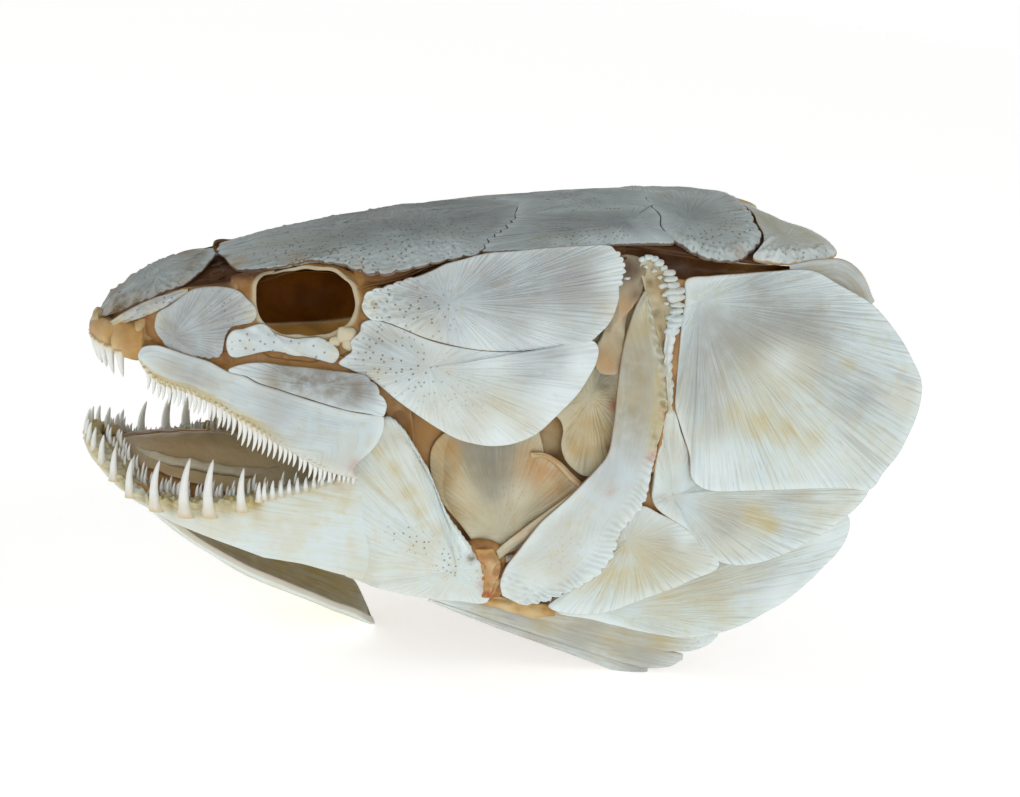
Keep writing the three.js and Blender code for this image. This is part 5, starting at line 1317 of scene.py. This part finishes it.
both("nostril", plate([(-57.4, 8.6), (-56.8, 7.6), (-55.4, 7.3), (-54, 7.6), (-53.3, 8.4), (-53.9, 9.6),
        (-55.4, 10.2), (-56.8, 9.8)], (-55.4, 8.7), under_roof(1.3), 1.0, (110, 11), dome=0, rough=0.03,
    seed=39, edge=0.3, relief=nostril_rim,
    tint={"brown": lambda flat, share: smooth((0.62 - share) / 0.1) + 0.6 * smooth((share - 0.8) / 0.15),
        "rust": lambda flat, share: 0.6 * smooth((0.35 - share) / 0.2)}), dark_tissue, replace=False)
both("lip_tissue", ribbon(at(on_cheek(0.3), (-63, 18.5), (-56, 18.2), (-50, 18.9), (-44, 18.4), (-38, 17.6),
        (-31, 15.6)) + at(on_cheek(-3.5), (-25, 9), (-24, 3), (-24, -4)), at(on_cheek(0.8), (-63, 16),
        (-56, 15.4), (-50, 15), (-44, 14.6), (-38, 13.8), (-32, 12)) + at(on_cheek(-3.5), (-28.5, 6),
        (-28, 0), (-28, -6)), (0, 0.9, 0), 1.2, rough=0.1, seed=30,
    tint={"ochre": [(-40, 16.5, 6, 0.5), (-54, 17, 3, 0.3)]}), amber_tissue, replace=False)
both("brow_tissue", ribbon(at(under_roof(0.9), (-33, 19), (-31, 20.4), (-27, 21.6), (-18, 21.8), (-4, 22.4),
        (8, 23), (15, 23.3)), at(on_cheek(0.5), (-32.6, 28.3), (-30.4, 29), (-25.5, 30), (-18, 33),
        (-4, 34.3), (8, 34.3), (14, 32.5)), (0, 0.6, -0.4), 1.2, rough=0.12, seed=31,
    tint={"ochre": [(-33, 29, 2, 0.6)]}), dark_tissue, replace=False)
# The dark sheet and its brown patch are partly dried tissue, partly painted shade in the band under the
# roof's edge.
both("gill_tissue", ribbon(at(under_roof(1.2), (12, 22.8), (18, 23), (24, 24), (33, 25.2), (41, 25.6),
        (49, 24.6), (56, 21)), at(on_cheek(-1.2), (12, 26), (18, 27), (24, 26.5), (33, 27), (43, 27.3),
        (52, 26), (57, 23)), (0, 2.0, -0.6), 1.2, rough=0.15, seed=32,
    tint={"ochre": [(14, 31, 2.5, 0.6), (38, 31, 4, 0.4)], "brown": [(26, 30, 6, 0.4)]}), dark_tissue,
    replace=False)
both("rear_tissue", plate([(12.4, 32.5), (17, 32), (17.4, 28), (16.2, 25.5), (14.2, 23), (13.2, 18),
        (12, 12.5), (8.8, 12.4), (7.4, 15.5), (9, 19), (11.3, 23.5), (11.8, 28)], (12.4, 21.5),
    on_cheek(-0.5), 1.0, (150, 10), rough=0.25, lump=2.5, dome=0.2, seed=40,
    tint={"ochre": [(9.5, 15, 2.5, 0.7), (13.5, 24, 2.5, 0.6)],
        "brown": [(14.5, 30.5, 3, 0.9), (15.5, 26, 1.2, 0.5)], "rust": [(10.5, 13.5, 1.2, 0.3)]}),
    pale_tissue, replace=False)
both("slit_tissue", ribbon(at(on_cheek(-0.1), (21.8, 28.5), (22, 24), (21.4, 18), (20.4, 12), (20.2, 6),
        (19.3, 0), (18, -6)), at(on_cheek(-0.3), (25, 28), (24.2, 22), (23.4, 15.5), (22.8, 10), (22.4, 5),
        (20.6, 0), (19.4, -6)), (0, 0.35, 0), 1.0, (80, 8), rough=0.1, seed=41,
    tint={"ochre": [(21, 5, 7, 0.5)]}), amber_tissue, replace=False)


def floor_of_mouth(arch, tint):
    """Tongue and floor of the mouth: a low dome from the jaw's inner wall to the midline."""
    return ribbon([(-77, -1, -3), (-70, -9, -4.5), (-60, -13.5, -7.5), (-50, -15.5, -10.5), (-40, -16.5, -13),
        (-30, -17.5, -15)], [(-77.2, -0.2, -2.6), (-70, -0.2, -1.5), (-60, -0.2, -1.5), (-50, -0.2, -3),
        (-40, -0.2, -5), (-30, -0.2, -7.5)], (0, 0, 1.6 * arch), -1.5, (110, 14), rough=0.1, seed=34,
        tint=tint)


# The near half is lightened with pale as painted light.
put("tongue_left", floor_of_mouth(1.0, {"pale": [(-50, -6, 8, 0.6), (-60, -8, 6, 0.3)],
        "ochre": [(-64, -6, 12, 0.5)]}), pale_tissue)
put("tongue_ridge", ribbon([(-74, -3, -2.4), (-68, -8.6, -3.3), (-60, -11.6, -4.8), (-52, -12, -6.6),
        (-46, -10, -7.6), (-42, -6, -7)], [(-73.5, -2, -2), (-67.5, -7.2, -2.8), (-60, -10, -4.1),
        (-52, -10.4, -5.8), (-46.5, -8.6, -6.8), (-43, -5, -6.2)], (0, 0, 0.6), -0.8, (110, 8), rough=0.12,
    seed=44, tint={"ochre": [(-48, -7, 6, 0.3)]}), pale_tissue)
# The far half is darkened with ochre and brown as painted shade.
put("tongue_right", floor_of_mouth(0.6, {"ochre": [(-62, -4, 16, 0.9)],
        "brown": [(-68, -4, 9, 0.5)]}).mirrored(), pale_tissue)
both("mouth_wall", ribbon([(-78, -2, -3.5), (-72, -14.5, -5), (-62, -20, -9), (-50, -21.8, -12.5),
        (-40, -22, -16), (-28, -22.5, -20)], [(-77, -1, -3), (-70, -9, -4.5), (-60, -13.5, -7.5),
        (-50, -15.5, -10.5), (-40, -16.5, -13), (-30, -17.5, -15)], (0, 0, -1.5), 1.2, (110, 9), rough=0.2,
    seed=35), amber_tissue, replace=False)

EYE = at(on_cheek(0.1), (-41.5, 20.9), (-46.5, 21.6), (-49.3, 24)) + at(on_cheek(0), (-49.9, 27))
EYE += at(on_cheek(-0.6), (-48.8, 30)) + at(under_roof(1.2), (-44.6, 14.2), (-40, 15.3), (-36.4, 17.3))
EYE += at(on_cheek(0), (-33.9, 29.3)) + at(on_cheek(0.2), (-33.2, 26), (-34.4, 23), (-37.4, 21.4))
SOCKET_DEEP = 8.5                             # how far the socket's lining falls in, mm
SOCKET = at(on_cheek(-1.2), (-46.5, 20.2), (-49.6, 22.8), (-51, 26), (-52.6, 29.2))
SOCKET += at(under_roof(2.2), (-50.5, 11.2), (-43, 13.4), (-37, 16), (-33.2, 20.2))
SOCKET += at(on_cheek(-1.2), (-31.6, 27.2), (-33.4, 23.4), (-36, 19.6), (-41.5, 20.2))


def orbit_lining():
    """Bowl that lines the eye socket: its rim lies just behind the bones round it and it falls in as a
    quarter turn. Below a plane that falls inwards it is ochre, and a pale line runs along that level."""
    rim = through(SOCKET, 180)
    k = np.linspace(0.02, 1, 36)[:, None, None] * np.pi / 2
    middle = np.mean(SOCKET, 0)
    wide = np.sin(k) ** 0.7
    inner = middle + (rim - middle) * np.concatenate([wide, wide ** 4, wide], -1)
    inner = inner + np.array([0.0, SOCKET_DEEP, 0.0]) * np.cos(k)
    inner = inner + 0.2 * lumps(inner, 6, 81)[..., None] * [0, 1, 0] * np.cos(k)
    rows = np.concatenate([inner, inner[::-2] + [0, 0.9, 0]])
    above = rows[..., 2] - (22.4 - 0.02 * (rows[..., 0] + 50) - 0.306 * (rows[..., 1] + 17))
    stain = {"ochre": smooth(-above / 0.3), "pale": 0.75 * bell(above, 0, 0.22)}
    return closed_rows(rows, painted(rows[..., [0, 2]]) | stain)


both("orbit_lining", orbit_lining(), eye_lining)


def eyelid():
    """Skin dried round the eye hole: from a smooth rolled lip it spreads 4 mm out under the bones."""
    hole = through(EYE, 260)
    out = hole - hole.mean(0)
    out /= np.linalg.norm(out, axis=1, keepdims=True)
    roll = np.linspace(0, np.pi, 9)[1:-1]
    lip_radius, spread = 0.22, 4.5
    reach = np.concatenate([np.linspace(spread, lip_radius, 14), lip_radius - lip_radius * np.sin(roll),
                            np.linspace(lip_radius, spread, 8)])
    deep = np.concatenate([np.linspace(1.1, 0, 14) ** 1.5 * 0.6, lip_radius - lip_radius * np.cos(roll),
                           2 * lip_radius + np.linspace(0, 1.1, 8)])
    high = smooth((hole[:, 2:] - 29.3) / 1.5)
    rows = hole + out * reach[:, None, None] * (1 - 0.6 * high * smooth(reach - 0.4)[:, None, None])
    rows = rows + deep[:, None, None] * (np.array([0.0, 0.9, -0.35]) - high * [0.0, 0.0, 0.5])
    rows = rows + 0.22 * lumps(rows, 3, 82)[..., None] * smooth(reach - 0.1)[:, None, None] * [0, 1, 0]
    rows = rows + 0.16 * lumps(hole, 4, 83)[:, None] * out
    lip = 0.45 * bell(reach, 0.3, 0.3)[:, None] * smooth(0.6 + 0.6 * lumps(rows, 5, 84))
    quads = grid_faces(len(rows) + 1, len(hole), True) % lip.size
    outer = smooth((reach - 0.5) / 0.6)[:, None] + 0 * lip
    values = {"pale": lip, "ochre": outer,
              "brown": 0.4 * outer + 0.5 * smooth((rows[..., 2] - 29) / 2) * smooth((-46 - rows[..., 0]) / 2)}
    return Shape(rows.reshape(-1, 3), quads, np.zeros((0, 3), int), {k: v.ravel() for k, v in values.items()})


both("eyelid_tissue", eyelid(), pale_tissue, replace=False)

# ---------------------------------------------------------------- floor, light, camera
FLOOR_RADIUS, FLOOR_SIDES = 9, 96             # metres, corners
mesh = bpy.data.meshes.new("floor")
turn = np.linspace(0, 2 * np.pi, FLOOR_SIDES, endpoint=False)
mesh.from_pydata((FLOOR_RADIUS * np.stack([np.cos(turn), np.sin(turn), 0 * turn], -1)).tolist(), [],
    [list(range(FLOOR_SIDES))])
mesh.materials.append(matt_paper())
floor = placed("floor", mesh)

world = bpy.data.worlds.new("studio")
bpy.context.scene.world = world
world.use_nodes = True
sky = world.node_tree
rise = add(sky, "ShaderNodeSeparateXYZ", {}, {0: add(sky, "ShaderNodeTexCoord", {}, {}, "Generated")}, 2)
glow = add(sky, "ShaderNodeMapRange", SMOOTH, {0: rise, 1: 0.1, 2: 0.8, 3: 1.0, 4: 0.3})
sky.nodes["Background"].inputs[0].default_value = (1, 1, 1, 1)
sky.links.new(glow, sky.nodes["Background"].inputs[1])


def turned(thing, right, up, back, place):
    """Sets an object at a place, with its own axes along the three given ones."""
    columns = np.stack([right, up, back, place], 1).tolist()
    thing.matrix_world = Matrix([*columns, [0, 0, 0, 1]])


def lamp(name, place, aim, width, power):
    """Soft square area light at a place in the row frame, in metres, turned to its aim."""
    light = bpy.data.lights.new(name, "AREA")
    light.size, light.energy = width, power
    back = np.array(place, float) - aim
    back /= np.linalg.norm(back)
    right = np.cross([0, 0, 1.0], back)
    right /= np.linalg.norm(right)
    turned(placed(name, light), right, np.cross(back, right), back, place)


lamp("key_light", (-0.3, -1.1, 0.3), (0, 0, 0.04), 0.5, 2.0)
lamp("rim_light", (0.7, -0.5, 0.9), (0, 0, 0.04), 0.4, 1.2)

SENSOR = 36.0                                 # mm
FOCAL = 1712 / 1020                           # focal length over the sensor's width
CAMERA_FAR = 330.0                            # mm


def camera():
    """Camera CAMERA_FAR mm from the head's origin, 15 degrees towards the snout and 17 up, tipped with it."""
    az, el = math.radians(15), math.radians(17)
    back = np.array([-math.sin(az) * math.cos(el), -math.cos(az) * math.cos(el), math.sin(el)])
    right = np.array([math.cos(az), -math.sin(az), 0.0])
    up = np.array([math.sin(az) * math.sin(el), math.cos(az) * math.sin(el), math.cos(el)])
    c, s = math.cos(PITCH), math.sin(PITCH)
    tip = np.array([[c, 0, -s], [0, 1, 0], [s, 0, c]])
    data = bpy.data.cameras.new("camera")
    data.sensor_width, data.lens, data.clip_start, data.clip_end = SENSOR, FOCAL * SENSOR, 0.01, 100
    bpy.context.scene.camera = placed("camera", data)
    turned(bpy.context.scene.camera, tip @ right, tip @ up, tip @ back,
        (tip @ back * CAMERA_FAR + SHIFT) * MM)


camera()
bpy.context.scene.view_settings.view_transform = "Standard"
